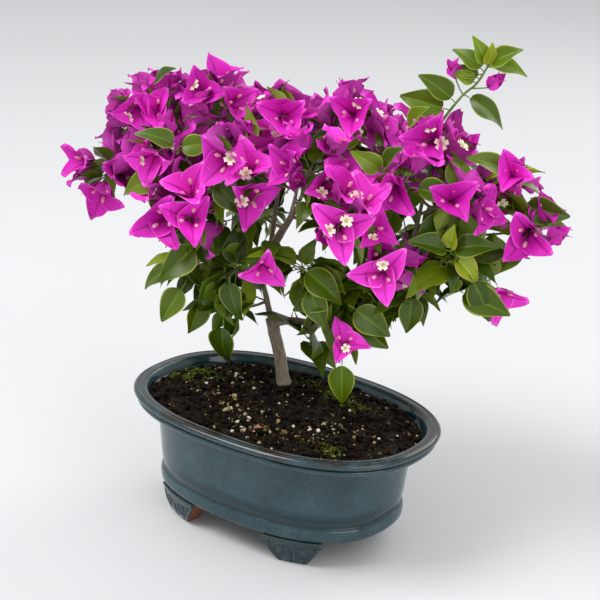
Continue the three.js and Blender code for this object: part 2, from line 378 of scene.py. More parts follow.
def worn_group():
    """1 on convex edges where a finish has worn or run thin, broken up by noise."""
    tree, given, out = shader_group(
        "worn_edges",
        {"Position": ("Vector", None), "Edge": ("Float", 0.53), "Break": ("Float", 0.5)},
        {"Mask": "Float"},
    )
    sharpness = node(tree, "NewGeometry").outputs["Pointiness"]
    patches = node(tree, "TexNoise", Vector=given.outputs["Position"], Scale=180.0, Detail=3.0)
    shift = node(
        tree, "Math", {"operation": "MULTIPLY_ADD"}, i0=patches.outputs[0], i1=0.08, i2=sharpness
    )
    over = node(tree, "Math", {"operation": "SUBTRACT"}, i0=shift.outputs[0], i1=given.outputs["Edge"])
    scaled = node(
        tree, "Math", {"operation": "MULTIPLY", "use_clamp": True}, i0=over.outputs[0], i1=22.0
    )
    part = node(
        tree, "Math", {"operation": "MULTIPLY"}, i0=scaled.outputs[0], i1=given.outputs["Break"]
    )
    tree.links.new(part.outputs[0], out.inputs["Mask"])
    return tree


SPECKS = specks_group()
BAND = band_group()
WORN = worn_group()


def blend_colours(tree, share, first, second):
    mixed = node(tree, "Mix", {"data_type": "RGBA"})
    for socket, value in ((mixed.inputs[0], share), (mixed.inputs[6], first), (mixed.inputs[7], second)):
        if isinstance(value, bpy.types.NodeSocket):
            tree.links.new(value, socket)
        else:
            socket.default_value = value
    return mixed.outputs[2]


def ramp(tree, value, stops):
    made = node(tree, "ValToRGB", Fac=value)
    elements = made.color_ramp.elements
    while len(elements) < len(stops):
        elements.new(0.5)
    for element, (place, tone) in zip(elements, stops):
        element.position = place
        element.color = tone
    return made.outputs["Color"]


def between(tree, value, low, high):
    """Maps a 0 to 1 value to a range."""
    return node(tree, "MapRange", Value=value, To_Min=low, To_Max=high).outputs[0]


def relief(tree, shader, height, depth, strength=1.0):
    made = node(tree, "Bump", Height=height, Distance=depth * MM, Strength=strength)
    tree.links.new(made.outputs[0], shader.inputs["Normal"])


def height_band(tree, place, low, high, soft):
    return use_group(tree, BAND, Position=place, Low=low, High=high, Soft=soft)["Mask"]


def glaze_material(name, body, deep, pool, pool_band, thin):
    made, tree, shader = material(name, IOR=1.5)
    place = node(tree, "TexCoord").outputs["Object"]
    clouds = node(tree, "TexNoise", Vector=place, Scale=38.0, Detail=4.0, Roughness=0.6)
    mottle = node(tree, "TexNoise", Vector=place, Scale=420.0, Detail=3.0)
    tone = ramp(tree, clouds.outputs[0], [(0.3, body), (0.7, deep)])
    fine = between(tree, mottle.outputs[0], 0.0, 0.55)
    tone = blend_colours(tree, fine, tone, deep)
    pooled = height_band(tree, place, *pool_band)
    tone = blend_colours(tree, pooled, tone, pool)
    # Painted shade: the groove under the lip's overhang is darkened almost to black.
    groove_shade = height_band(tree, place, 0.0842, 0.0868, 0.0008)
    tone = blend_colours(tree, groove_shade, tone, colour("0A171B"))
    rim = height_band(tree, place, 0.0893, 0.0935, 0.0009)
    patchy = ramp(tree, clouds.outputs[0], [(0.4, (0.2, 0.2, 0.2, 1)), (0.6, (0.95, 0.95, 0.95, 1))])
    rim_share = node(tree, "Math", {"operation": "MULTIPLY"}, i0=rim, i1=patchy).outputs[0]
    tone = blend_colours(tree, rim_share, tone, colour("2A2018"))
    seam = height_band(tree, place, 0.0298, 0.0338, 0.0012)
    tone = blend_colours(tree, between(tree, seam, 0.0, 0.7), tone, colour("031A20"))
    dark = use_group(tree, SPECKS, Position=place, Density=900.0, Amount=0.33)["Mask"]
    tone = blend_colours(tree, between(tree, dark, 0.0, 0.7), tone, colour("14201F"))
    pale = use_group(tree, SPECKS, Position=place, Density=800.0, Amount=0.26)["Mask"]
    tone = blend_colours(tree, between(tree, pale, 0.0, 0.2), tone, colour("93A8A6"))
    worn = use_group(tree, WORN, Position=place, Edge=0.56, Break=0.75)["Mask"]
    tone = blend_colours(tree, worn, tone, thin)
    tree.links.new(tone, shader.inputs["Base Color"])
    tree.links.new(between(tree, mottle.outputs[0], 0.04, 0.2), shader.inputs["Roughness"])
    ripple = node(tree, "TexNoise", Vector=place, Scale=160.0, Detail=2.0)
    relief(tree, shader, ripple.outputs[0], 0.4, 0.25)
    return made


def clay_material():
    made, tree, shader = material("bare_clay", Roughness=0.9)
    place = node(tree, "TexCoord").outputs["Object"]
    grains = node(tree, "TexNoise", Vector=place, Scale=600.0, Detail=4.0)
    tone = ramp(tree, grains.outputs[0], [(0.3, colour("6B3A2A")), (0.7, colour("8A5540"))])
    tree.links.new(tone, shader.inputs["Base Color"])
    relief(tree, shader, grains.outputs[0], 0.3, 0.5)
    return made


def soil_material():
    made, tree, shader = material("damp_soil", Specular_IOR_Level=0.15)
    place = node(tree, "TexCoord").outputs["Object"]
    clods = node(tree, "TexNoise", Vector=place, Scale=120.0, Detail=6.0, Roughness=0.7)
    tone = ramp(
        tree,
        clods.outputs[0],
        [(0.3, colour("060402")), (0.5, colour("140E08")), (0.72, colour("261A10"))],
    )
    grit = use_group(tree, SPECKS, Position=place, Density=420.0, Amount=0.24)["Mask"]
    tone = blend_colours(tree, between(tree, grit, 0.0, 0.7), tone, colour("6E5A3C"))
    tree.links.new(tone, shader.inputs["Base Color"])
    tree.links.new(between(tree, clods.outputs[0], 0.7, 1.0), shader.inputs["Roughness"])
    fine = node(tree, "TexNoise", Vector=place, Scale=700.0, Detail=5.0)
    relief(tree, shader, fine.outputs[0], 1.2, 0.9)
    return made


def bark_material(name, pale, mid, dark, scale):
    """Bark whose fissures run along the limb, read from the grain that each vertex carries."""
    made, tree, shader = material(name)
    grain = node(tree, "Attribute", {"attribute_name": "grain"}).outputs["Vector"]
    strands = node(tree, "TexNoise", Vector=grain, Scale=scale, Detail=6.0, Roughness=0.65)
    patches = node(tree, "TexNoise", Vector=grain, Scale=scale * 0.22, Detail=2.0)
    tone = ramp(tree, strands.outputs[0], [(0.34, dark), (0.5, mid), (0.68, pale)])
    tone = blend_colours(tree, between(tree, patches.outputs[0], 0.0, 0.6), tone, mid)
    tree.links.new(tone, shader.inputs["Base Color"])
    tree.links.new(between(tree, strands.outputs[0], 0.95, 0.7), shader.inputs["Roughness"])
    relief(tree, shader, strands.outputs[0], 0.7, 0.9)
    return made


def plain_tints(prefix, codes, **plain):
    return [material(f"{prefix}_{i}", Base_Color=colour(c), **plain)[0] for i, c in enumerate(codes)]


# ---- the pot ----


def oval_reach(value):
    return math.copysign(abs(value) ** (2 / OVAL_POWER), value)


def pot_ring(scale, inset, up):
    return (RIM_LONG * scale - inset, RIM_WIDE * scale - inset, up)


BELT = [(0.3, 0, 21), (0.7, 0, 21), (0.718, 0, 20.3), (0.73, 0, 20), (0.778, 0, 20), (0.79, 0, 20.5)]
BELT += [(0.798, 0, 21.6), (0.802, 0, 23.2), (0.803, 0, 25.5), (0.802, 0, 27.8), (0.798, 0, 29.4)]
BELT += [(0.789, 0, 30.4), (0.7825, 0, 31.0), (0.782, 0, 31.9)]
PANEL = [(0.785, 0, 33.2), (0.791, 0, 35), (0.797, 0, 38), (0.803, 0, 44), (0.8085, 0, 51)]
PANEL += [(0.815, 0, 58), (0.8225, 0, 65), (0.831, 0, 71), (0.8365, 0, 74.4), (0.844, 0, 76.6)]
COLLAR = [(0.862, 1.2, 77.9), (0.9, 3.4, 78.7), (0.95, 5.6, 79.2), (0.99, 7.2, 79.5), (1, 5.4, 79.9)]
COLLAR += [(1, 3.6, 80.7), (1, 2.6, 81.9), (1, 2.3, 83.2), (1, 2.5, 84.2), (1, 3.3, 84.9)]
LIP = [(1, 3.7, 85.4), (1, 3.3, 85.9), (1, 1.9, 86.3), (1, 0.7, 86.9), (1, 0.1, 87.8), (1, 0, 88.6)]
LIP += [(1, 0.15, 89.5), (1, 0.8, 90.4), (1, 1.7, 91.0), (1, 2.5, 91.3), (1, 3.2, 91.2), (1, 3.6, 90.85)]
LIP += [(1, 4.1, 90.8), (1, 5.2, 91.05), (1, 6.8, 91.1), (1, 8.2, 90.9), (1, 9.3, 90.4), (1, 10, 89.5)]
INSIDE = [(1, 10.6, 88), (1, 11.4, 86), (1, 12.5, 83.5), (0.86, 3, 79), (0.845, 8, 74), (0.8, 8, 42)]
INSIDE += [(0.74, 8, 29), (0.6, 8, 28), (0.25, 4, 28)]


def glazed_pot():
    rings = [pot_ring(*ring) for ring in BELT + PANEL + COLLAR + LIP + INSIDE]
    pot = turned("pot_glazed", rings, POT_SIDES, oval_reach)
    apply_modifier(pot, "SUBSURF", levels=1, render_levels=1)
    place_points(pot, lambda p: p + POT_MIDDLE)
    soften(pot, 50)
    return pot


# ---- the feet ----


def belt_outline():
    """The belt's outline from +X round to +Y, as points with their length from the start."""
    long, wide = RIM_LONG * BELT_SCALE, RIM_WIDE * BELT_SCALE
    turns = np.linspace(0, 2 * np.pi, 2881)
    reach = np.vectorize(oval_reach)
    points = np.stack([long * reach(np.cos(turns)), wide * reach(np.sin(turns))], 1)
    steps = np.linalg.norm(np.diff(points, axis=0), axis=1)
    return points, np.concatenate(([0], np.cumsum(steps)))


BELT_POINTS, BELT_LENGTHS = belt_outline()


def on_belt(length):
    """The belt's place and inward direction at a length along it."""
    length %= BELT_LENGTHS[-1]
    point = np.array([np.interp(length, BELT_LENGTHS, BELT_POINTS[:, axis]) for axis in (0, 1)])
    further = (length + 0.5) % BELT_LENGTHS[-1]
    ahead = np.array([np.interp(further, BELT_LENGTHS, BELT_POINTS[:, axis]) for axis in (0, 1)])
    step = (ahead - point) / np.linalg.norm(ahead - point)
    return point, np.array([-step[1], step[0]])


def foot_half_width(up):
    """Half the foot's width at a height: a ledge at the top, then full sides that draw in to the sole."""
    share = min(max(up / (FOOT_HEIGHT - FOOT_LEDGE), 0), 1)
    return FOOT_HALF_SOLE + (FOOT_HALF_TOP - FOOT_HALF_SOLE) * share**0.85


def scroll_relief(across, up):
    """Depth of the carving on a foot's outer face: a rim, two scrolls and a centre slot."""
    edge = foot_half_width(up) - abs(across)
    rim = -1.3 * math.exp(-(((edge - 3.4) / 1.1) ** 2))
    eye = math.hypot(abs(across) - 8.6, up - 10.5)
    curl = -1.2 * math.exp(-(((eye - 3.6) / 0.9) ** 2)) + 0.6 * math.exp(-((eye / 2.0) ** 2))
    slot = -1.4 * math.exp(-((across / 1.0) ** 2)) * min(max((14 - up) / 4, 0), 1)
    ledge = 0.9 / (1 + math.exp(-(up - FOOT_HEIGHT + FOOT_LEDGE) / 0.5))
    fade = min(max(edge / 1.2, 0), 1)
    return (rim + curl + slot) * fade * min(max((FOOT_HEIGHT - FOOT_LEDGE - up) / 1.5, 0), 1) + ledge


def foot_pattern():
    """A flat foot, made once: across in X, up in Z, with its outer face at the least Y."""
    foot = new_piece(
        "foot", bpy.ops.mesh.primitive_grid_add, x_subdivisions=40, y_subdivisions=22, size=2
    )

    def stand_up(point):
        up = (point.y + 1) / 2 * FOOT_HEIGHT
        across = point.x * foot_half_width(up)
        return Vector((across, -scroll_relief(across, up), up))

    place_points(foot, stand_up)
    edit(foot)
    bpy.ops.mesh.select_all(action="SELECT")
    bpy.ops.mesh.extrude_region_move(TRANSFORM_OT_translate={"value": (0, 2, 0)})
    bpy.ops.mesh.extrude_region_move(TRANSFORM_OT_translate={"value": (0, FOOT_DEPTH - 2, 0)})
    bpy.ops.object.mode_set(mode="OBJECT")
    place_points(foot, lambda p: Vector((p.x, FOOT_DEPTH, p.z)) if p.y > FOOT_DEPTH - 2.5 else p)
    face_outwards(foot)
    return foot


def bent_foot(name, pattern, middle, materials):
    """A copy of the foot, bent round the belt's corner and tucked in at its toe."""
    foot = pattern.copy()
    foot.data = pattern.data.copy()
    foot.name = foot.data.name = name
    bpy.context.scene.collection.objects.link(foot)
    for face in foot.data.polygons:
        inner = face.center.y > 3 or face.center.z < 0.4
        face.material_index = 1 if inner and face.center.z < FOOT_HEIGHT - 0.3 else 0

    def bend(point):
        place, inward = on_belt(middle + point.x)
        outward = 1 - point.y / FOOT_DEPTH
        tuck = TOE_TUCK * (1 - min(point.z / BELT_UNDER, 1)) ** 3
        flat = place + inward * (FOOT_INSET + point.y + tuck * outward)
        return on_pot(flat[0], flat[1], point.z)

    place_points(foot, bend)
    for made in materials:
        foot.data.materials.append(made)
    soften(foot, 45)
    return foot


def feet(materials):
    pattern = foot_pattern()
    gap = np.hypot(BELT_POINTS[:, 0] - FOOT_CORNER[0], BELT_POINTS[:, 1] - FOOT_CORNER[1])
    corner, whole = BELT_LENGTHS[gap.argmin()], BELT_LENGTHS[-1]
    middles = {
        "foot_back_right": corner,
        "foot_back_left": whole / 2 - corner,
        "foot_front_left": whole / 2 + corner,
        "foot_front_right": whole - corner,
    }
    made = {n: bent_foot("scroll_" + n, pattern, middle, materials) for n, middle in middles.items()}
    bpy.data.objects.remove(pattern)
    return made


# ---- the soil ----


def soil_height(along, across):
    """The soil's level in millimetres, with clods, from its place on the pot."""
    share = (abs(along) / SOIL_DOME[0]) ** OVAL_POWER + (abs(across) / SOIL_DOME[1]) ** OVAL_POWER
    dome = SOIL_EDGE + (SOIL_TOP - SOIL_EDGE) * (1 - min(share, 1) ** 2)
    clods = noise.fractal(Vector((along, across, 3)) * 0.16, 0.9, 2.1, 4)
    grains = noise.noise(Vector((along, across, 9)) * 0.9)
    near_trunk = math.hypot(along - TRUNK_FOOT[0], across - TRUNK_FOOT[1])
    calm = min(max((near_trunk - 5) / 12, 0.15), 1)
    return dome + (clods * 1.6 + grains * 0.45) * calm


def soil_bed(made):
    soil = new_piece(
        "soil_bed", bpy.ops.mesh.primitive_circle_add, vertices=POT_SIDES * 2, fill_type="NOTHING"
    )
    long, wide = RIM_LONG - SOIL_INSET, RIM_WIDE - SOIL_INSET
    place_points(soil, lambda p: Vector((oval_reach(p.x) * long, oval_reach(p.y) * wide, SOIL_UNDER)))
    edit(soil, "EDGE")
    bpy.ops.mesh.select_all(action="SELECT")
    shrink = 1.0
    bpy.ops.mesh.extrude_edges_move(TRANSFORM_OT_translate={"value": (0, 0, SOIL_EDGE - SOIL_UNDER)})
    for ring in range(SOIL_RINGS):
        target = 1 - (ring + 1) / (SOIL_RINGS + 1)
        bpy.ops.mesh.extrude_edges_move(TRANSFORM_OT_translate={"value": (0, 0, 0)})
        step = target / shrink
        bpy.ops.transform.resize(value=(step, step, 1), center_override=(0, 0, SOIL_EDGE))
        shrink = target
    bpy.ops.mesh.merge(type="CENTER")
    bpy.ops.mesh.select_all(action="DESELECT")
    bpy.ops.object.mode_set(mode="OBJECT")
    halfway = (SOIL_UNDER + SOIL_EDGE) / 2
    pick_points(soil, lambda v: v.co.z < halfway)
    bpy.ops.mesh.edge_face_add()
    bpy.ops.object.mode_set(mode="OBJECT")
    face_outwards(soil)

    def settle(point):
        top = point.z > halfway
        return on_pot(point.x, point.y, soil_height(point.x, point.y) if top else point.z)

    place_points(soil, settle)
    soil.data.materials.append(made)
    soften(soil, 60)
    return soil


def crumb_pattern(seed):
    """A rough lump about a millimetre across, to be scaled when it is scattered."""
    crumb = new_piece("crumb", bpy.ops.mesh.primitive_ico_sphere_add, subdivisions=1, radius=0.5 * MM)
    luck = random.Random(seed)
    place_points(crumb, lambda p: p * luck.uniform(0.65, 1.25))
    return take_pattern(crumb)


def random_turn(luck):
    about_upright = Matrix.Rotation(luck.uniform(0, FULL_TURN), 3, "Z")
    return about_upright @ Matrix.Rotation(luck.uniform(0, HALF_TURN), 3, "X")


def scatter_on_soil(patterns, count, sizes, tints, seed, spot=None, sink=0.25, spread=12.0):
    """Copies of the patterns over the soil, or round spots given as shares of its half length and width."""
    luck = random.Random(seed)
    copies = []
    far_along, far_across = SOIL_HALF[0] + 1, SOIL_HALF[1] + 0.5
    while len(copies) < count:
        if spot:
            middle = luck.choice(spot)
            along = luck.gauss(middle[0] * SOIL_HALF[0], spread)
            across = luck.gauss(middle[1] * SOIL_HALF[1], spread * 0.6)
        else:
            along = luck.uniform(-far_along, far_along)
            across = luck.uniform(-far_across, far_across)
        if (abs(along) / SOIL_HALF[0]) ** OVAL_POWER + (abs(across) / SOIL_HALF[1]) ** OVAL_POWER > 1:
            continue
        if math.hypot(along - TRUNK_FOOT[0], across - TRUNK_FOOT[1]) < TRUNK_CLEAR:
            continue
        size = sizes[0] + (sizes[1] - sizes[0]) * luck.random() ** 2.5
        up = soil_height(along, across) + size * (0.5 - sink)
        stretch = Matrix.Diagonal((size, size * luck.uniform(0.7, 1.1), size * luck.uniform(0.5, 0.9)))
        place = Matrix.Translation(on_pot(along, across, up)) @ (random_turn(luck) @ stretch).to_4x4()
        copies.append((luck.choice(patterns), place, luck.randrange(tints)))
    return copies


# ---- the wood ----

FOOT_UP = 86.0
FORK_UP = 86.35 + TRUNK_HEIGHT

# Each limb: its route in (along, front, up) and its radius at the start and the end.
LIMBS = {
    "trunk": ([(1, 0, FOOT_UP), (-3, 0, 106.35), (-8, 0, 124.35), (-11, 0, FORK_UP)], 4.7, 4.7),
    "leader": (
        [(-10.5, 0, 132), (-12.5, 0, 140), (-16, 0, 152), (-21, -2, 172), (-15, -2, 200), (-8, 2, 276)],
        2.6,
        1.6,
    ),
    "bough_right": (
        [(-11, 0, 133.85), (8, 3, 139.5), (24, 8, 142), (40, 12, 156), (52, 16, 176)],
        3.2,
        1.7,
    ),
    "bough_left": ([(-20, -2, 176), (-38, 6, 196), (-56, 18, 212), (-66, 30, 234)], 2.2, 1.3),
    "bough_front": ([(-17, -2, 190), (-6, 12, 206), (8, 30, 228), (18, 46, 258)], 2.0, 1.3),
    "bough_back": ([(-19, -4, 182), (-14, -22, 196), (-8, -42, 216), (-2, -56, 248)], 2.1, 1.3),
    "bough_far_right": ([(24, 7.6, 142), (56, 2, 158), (88, 4, 196), (100, 2, 262)], 2.3, 1.4),
}
SHOOT = (
    [(100, 2, 262), (103, 0, 286), (105, 0, 300), (118, 0, 321), (128, 0, 331.5), (135, 0, 345)],
    1.4,
    0.8,
)


def smooth_route(points, steps):
    """Points along a smooth curve through the given places, in metres."""
    places = [Vector(p) for p in points]
    ends = [places[0] * 2 - places[1], *places, places[-1] * 2 - places[-2]]
    spans = len(places) - 1
    made = []
    for step in range(steps + 1):
        where = min(step / steps * spans, spans - 1e-6)
        i, t = int(where), where - int(where)
        a, b, c, d = ends[i : i + 4]
        made.append(
            0.5
            * (
                2 * b
                + (c - a) * t
                + (2 * a - 5 * b + 4 * c - d) * t**2
                + (3 * b - a - 3 * c + d) * t**3
            )
        )
    return made


def tubes(name, runs, sides_level=1):
    """Round-sectioned stems along the given runs of (points, radii), as one mesh with closed ends."""
    deselect()
    curve = bpy.data.curves.new(name, "CURVE")
    curve.dimensions = "3D"
    curve.bevel_depth = 1.0
    curve.bevel_resolution = sides_level
    curve.use_fill_caps = True
    for points, radii in runs:
        spline = curve.splines.new("POLY")
        spline.points.add(len(points) - 1)
        for target, point, radius in zip(spline.points, points, radii):
            target.co = (*point, 1)
            target.radius = radius
    piece = bpy.data.objects.new(name, curve)
    bpy.context.scene.collection.objects.link(piece)
    activate(piece)
    bpy.ops.object.convert(target="MESH")
    piece = bpy.context.object
    piece.name = piece.data.name = name
    return piece


def limb_run(route, start, end, flare=0.0, swell=0.0, steps=60):
    points = [on_plant(*p) for p in smooth_route(route, steps)]
    radii = []
    for step in range(steps + 1):
        share = step / steps
        root = flare * math.exp(-share / 0.07)
        fork = swell * math.exp((share - 1) / 0.1)
        radii.append((start + (end - start) * share + root + fork) * MM)
    return points, radii


def carry_grain(piece, runs, stretch=0.16):
    """Gives each vertex its place in the limb it belongs to, as if the limb were straight."""
    places, firsts, seconds, lengths, sizes, offset = [], [], [], [], [], 0.0
    for points, radii in runs:
        side = Vector((1, 0, 0))
        run = offset
        for i, point in enumerate(points):
            ahead = (points[min(i + 1, len(points) - 1)] - points[max(i - 1, 0)]).normalized()
            side = (side - ahead * side.dot(ahead)).normalized()
            run += (point - points[i - 1]).length if i else 0
            places.append(point)
            firsts.append(side.copy())
            seconds.append(ahead.cross(side))
            lengths.append(run)
            sizes.append(radii[i])
        offset += 0.37
    places, firsts, seconds = np.array(places), np.array(firsts), np.array(seconds)
    lengths, sizes = np.array(lengths), np.array(sizes)
    count = len(piece.data.vertices)
    spots = np.zeros(count * 3)
    piece.data.vertices.foreach_get("co", spots)
    spots = spots.reshape(-1, 3)
    near = np.zeros(count, int)
    for low in range(0, count, 4000):
        gaps = np.linalg.norm(spots[low : low + 4000, None] - places[None], axis=2)
        near[low : low + 4000] = (gaps - sizes[None]).argmin(1)
    off = spots - places[near]
    grain = np.stack(
        [(off * firsts[near]).sum(1), (off * seconds[near]).sum(1), lengths[near] * stretch], 1
    )
    layer = piece.data.attributes.new("grain", "FLOAT_VECTOR", "POINT")
    layer.data.foreach_set("vector", grain.astype(np.float32).ravel())
    return grain, sizes[near]


def raise_bark(piece, grain, sizes):
    """Fissures and low swellings pushed into the wood, deeper on the thicker limbs."""
    outward = [vertex.normal.copy() for vertex in piece.data.vertices]
    for vertex, way, spot, size in zip(piece.data.vertices, outward, grain, sizes):
        place = Vector(spot) / MM
        strands = noise.fractal(place * 0.75, 1.0, 2.0, 3)
        swelling = noise.noise(Vector((place.x * 0.12, place.y * 0.12, place.z * 0.9)))
        depth = size * (0.13 * min(strands, 0.25) + 0.1 * swelling)
        vertex.co += way * depth
    piece.data.update()


def wood(made):
    runs = []
    for name, (route, start, end) in LIMBS.items():
        flare, swell = (1.4, 0.9) if name == "trunk" else (0.0, 0.0)
        runs.append(limb_run(route, start, end, flare, swell))
    piece = tubes("bark_wood", runs, 5)
    apply_modifier(piece, "REMESH", mode="VOXEL", voxel_size=0.6 * MM, use_smooth_shade=True)
    apply_modifier(piece, "SMOOTH", factor=0.5, iterations=4)
    grain, sizes = carry_grain(piece, runs)
    raise_bark(piece, grain, sizes)
    piece.data.materials.append(made)
    soften(piece, 60)
    return piece, runs


# ---- patterns for leaves and blossom, each made once ----

ACROSS = (-1, -0.955, -0.48, -0.03, 0.03, 0.48, 0.955, 1)
ALONG = (0, 0.08, 0.2, 0.36, 0.54, 0.72, 0.88, 1)


def thin_blade(name, outline, lift, zones, thickness, fine):
    """A closed blade: a grid given its outline and its lift, then backed with a second face."""
    blade = new_piece(
        name,
        bpy.ops.mesh.primitive_grid_add,
        x_subdivisions=len(ACROSS) - 1,
        y_subdivisions=len(ALONG) - 1,
        size=2,
    )
    mesh = blade.data
    columns, rows = len(ACROSS) - 1, len(ALONG) - 1
    half = len(mesh.polygons)
    rim = set()

    def shape(point):
        side = ACROSS[round((point.x + 1) / 2 * columns)]
        share = ALONG[round((point.y + 1) / 2 * rows)]
        return lift(side, share, outline(share)) * MM

    for vertex in mesh.vertices:
        if abs(vertex.co.x) > 0.99 or abs(vertex.co.y) > 0.99:
            rim.add(vertex.index)
    for face in mesh.polygons:
        column = min(int((face.center.x + 1) / 2 * columns), columns - 1)
        row = min(int((face.center.y + 1) / 2 * rows), rows - 1)
        face.material_index = zones(column, row)
    count = len(mesh.vertices)
    place_points(blade, shape)
    edit(blade)
    bpy.ops.mesh.select_all(action="SELECT")
    bpy.ops.mesh.duplicate()
    bpy.ops.mesh.flip_normals()
    bpy.ops.object.mode_set(mode="OBJECT")
    for face in mesh.polygons:
        if face.index >= half:
            face.material_index = zones(-1, face.material_index)
    pick_points(blade, lambda v: v.index >= count and (v.index - count) not in rim)
    bpy.ops.transform.translate(value=(0, 0, -thickness * MM))
    bpy.ops.mesh.select_all(action="SELECT")
    bpy.ops.mesh.remove_doubles(threshold=0.001 * MM)
    bpy.ops.object.mode_set(mode="OBJECT")
    if fine:
        apply_modifier(blade, "SUBSURF", levels=1, render_levels=1)
    return take_pattern(blade)


def leaf_outline(share):
    return LEAF_WIDE / 2 * math.sin(math.pi * share**0.67) ** 0.88 * (1.06 - 0.42 * share**2)


def leaf_pattern(fold, droop, wave, twist, fine=False):
    """A heart-shaped leaf with a pointed tip, folded along its midrib and arched along its length."""

    def lift(side, share, half):
        across = side * half
        up = abs(across) * fold * (1 - 0.35 * share) - across * across * 0.018
        up -= droop * LEAF_LONG * share**2
        up += wave * side * side * math.sin(9 * share + (1 if side > 0 else 2.6))
        up += twist * across * share
        return Vector((across, LEAF_LONG * share * (1 - 0.25 * droop * share), up))

    def zones(column, _):
        if column < 0:
            return 2
        # The narrow edge columns take a lighter margin colour, a painted highlight along the leaf's edge.
        return {0: 1, 6: 1, 3: 3}.get(column, 0)

    return thin_blade("leaf", leaf_outline, lift, zones, 0.3, fine)


def bract_outline(share):
    return BRACT_WIDE / 2 * math.sin(math.pi * share**0.74) ** 0.9 * (1.04 - 0.2 * share * share)


def bract_rise(steep, flat, share):
    """The slope of a bract's midrib: steep at the tube, flatter outwards, with its tip curled back."""
    curl = 22 * max((share - 0.68) / 0.32, 0) ** 1.5
    return math.radians(steep + (flat - steep) * share**0.9 - curl)


def bract_pattern(steep, flat, cup, wave, shift, fine=False):
    """A papery bract that leaves the tube steeply and opens outwards to its pointed tip."""
    steps = 40
    path = [(0.0, 0.0)]
    for step in range(steps):
        share = (step + 0.5) / steps
        rise = bract_rise(steep, flat, share)
        y, z = path[-1]
        path.append((y + math.cos(rise) / steps, z + math.sin(rise) / steps))

    def lift(side, share, half):
        y, z = path[round(share * steps)]
        across = side * half
        rise = bract_rise(steep, flat, share)
        bowl = cup * across * across / BRACT_WIDE * (1.1 - share) + 0.3 * abs(across) * (1.1 - share)
        ruffle = wave * side * side * math.sin(8.5 * share + shift + (0 if side > 0 else 1.9))
        ruffle += 0.35 * wave * side * math.sin(15 * share + 2 * shift) * (1 - share)
        out = bowl + ruffle
        return Vector(
            (
                across * (1 - 0.12 * cup * abs(side)),
                BRACT_LONG * y - math.sin(rise) * out,
                BRACT_LONG * z + math.cos(rise) * out,
            )
        )

    def zones(column, row):
        if column < 0:
            return 3
        # The edge columns and tip rows are lighter as a painted highlight, and the base row is darker as
        # painted shade. The midrib's darker colour is its own.
        if column in (0, 6):
            return 2
        if column == 3:
            return 0
        return 0 if row < 1 else (1 if row < 6 else 2)

    return thin_blade("bract", bract_outline, lift, zones, 0.22, fine)


def tube_pattern(name, rings, sides, tip_from):
    """A flower's tube: turned rings, with the faces of its tip in their own slot."""
    tube = turned(name, [(r, r, up) for r, up in rings], sides)
    for face in tube.data.polygons:
        face.material_index = int(face.center.z / MM > tip_from)
    return take_pattern(tube)


def star_pattern():
    """A small five-lobed flower face with a green eye, closed at the back."""
    star = new_piece("star", bpy.ops.mesh.primitive_circle_add, vertices=15, fill_type="TRIFAN")
    lobes = ((2.5, 0.0), (4.3, 17.0), (4.3, 55.0))

    def spread(point):
        if point.xy.length < 0.5:
            return Vector((0, 0, -0.9)) * MM
        return Vector((point.x * 1.5, point.y * 1.5, 0)) * MM

    place_points(star, spread)
    for face in star.data.polygons:
        face.material_index = 1
    pick_points(star, lambda v: v.co.xy.length > 1e-4)
    bpy.ops.mesh.extrude_edges_move(TRANSFORM_OT_translate={"value": (0, 0, 0.7 * MM)})
    bpy.ops.object.mode_set(mode="OBJECT")
    outer = [v for v in star.data.vertices if v.select]
    outer.sort(key=lambda v: math.atan2(v.co.y, v.co.x) % math.tau)
    for i, vertex in enumerate(outer):
        reach, turn = lobes[i % 3]
        angle = math.radians(72 * (i // 3) + turn)
        vertex.co = Vector((reach * math.cos(angle), reach * math.sin(angle), 0.9)) * MM
    for face in star.data.polygons:
        if face.center.xy.length > 1.5 * MM:
            face.material_index = 0
    edit(star)
    bpy.ops.mesh.select_all(action="SELECT")
    bpy.ops.mesh.normals_make_consistent(inside=False)
    bpy.ops.mesh.duplicate()
    bpy.ops.mesh.flip_normals()
    bpy.ops.object.mode_set(mode="OBJECT")
    half = len(star.data.vertices) // 2
    pick_points(star, lambda v: v.index >= half and v.co.xy.length < 1.9 * MM)
    bpy.ops.transform.translate(value=(0, 0, -0.5 * MM))
    face_outwards(star)
    return take_pattern(star)


LEAF_SHAPES = [  # fold, droop, wave, twist
    (0.66, 0.22, 1.4, 0.06),
    (0.42, 0.4, 2.0, 0.24),
    (0.92, 0.16, 1.5, -0.18),
    (0.55, 0.55, 1.3, -0.14),
]
LEAVES = [leaf_pattern(*shape) for shape in LEAF_SHAPES]
FINE_LEAVES = [leaf_pattern(*shape, fine=True) for shape in LEAF_SHAPES]
# Bracts from wide open to nearly shut: their slope at the tube and outwards, their cup and their ruffle.
WAYS_OF_OPENING = [(62, 12, 1.5, 3.3), (70, 28, 1.5, 3.3), (76, 42, 1.4, 2.6), (84, 70, 1.7, 0.8)]
OPEN, WIDE, HALF, SHUT = 0, 1, 2, 3


def bract_trio(steep, flat, cup, wave, fine):
    """The three bracts of a bloom, each opened a little differently."""
    return [
        bract_pattern(steep - 5 * i, flat + 7 * (i - 1), cup, wave, 1.7 * i + 0.4, fine)
        for i in range(3)
    ]


OPENINGS = [bract_trio(*way, fine=False) for way in WAYS_OF_OPENING]
FINE_OPENINGS = [bract_trio(*way, fine=True) for way in WAYS_OF_OPENING]
TUBE_WAIST = [(0.5, 0), (1.15, 1.2), (1.35, 3.5), (0.95, 7)]
BUD_TUBE = tube_pattern("bud_tube", TUBE_WAIST + [(1.15, 11), (1.5, 14), (0.9, 16)], 6, 12.5)
OPEN_TUBE = tube_pattern("open_tube", TUBE_WAIST + [(1.0, 11), (1.3, 15), (0.7, 15.4)], 6, 13.5)
STAR = star_pattern()
CRUMBS = [crumb_pattern(s) for s in range(6)]


# ---- the masses that the crown fills ----


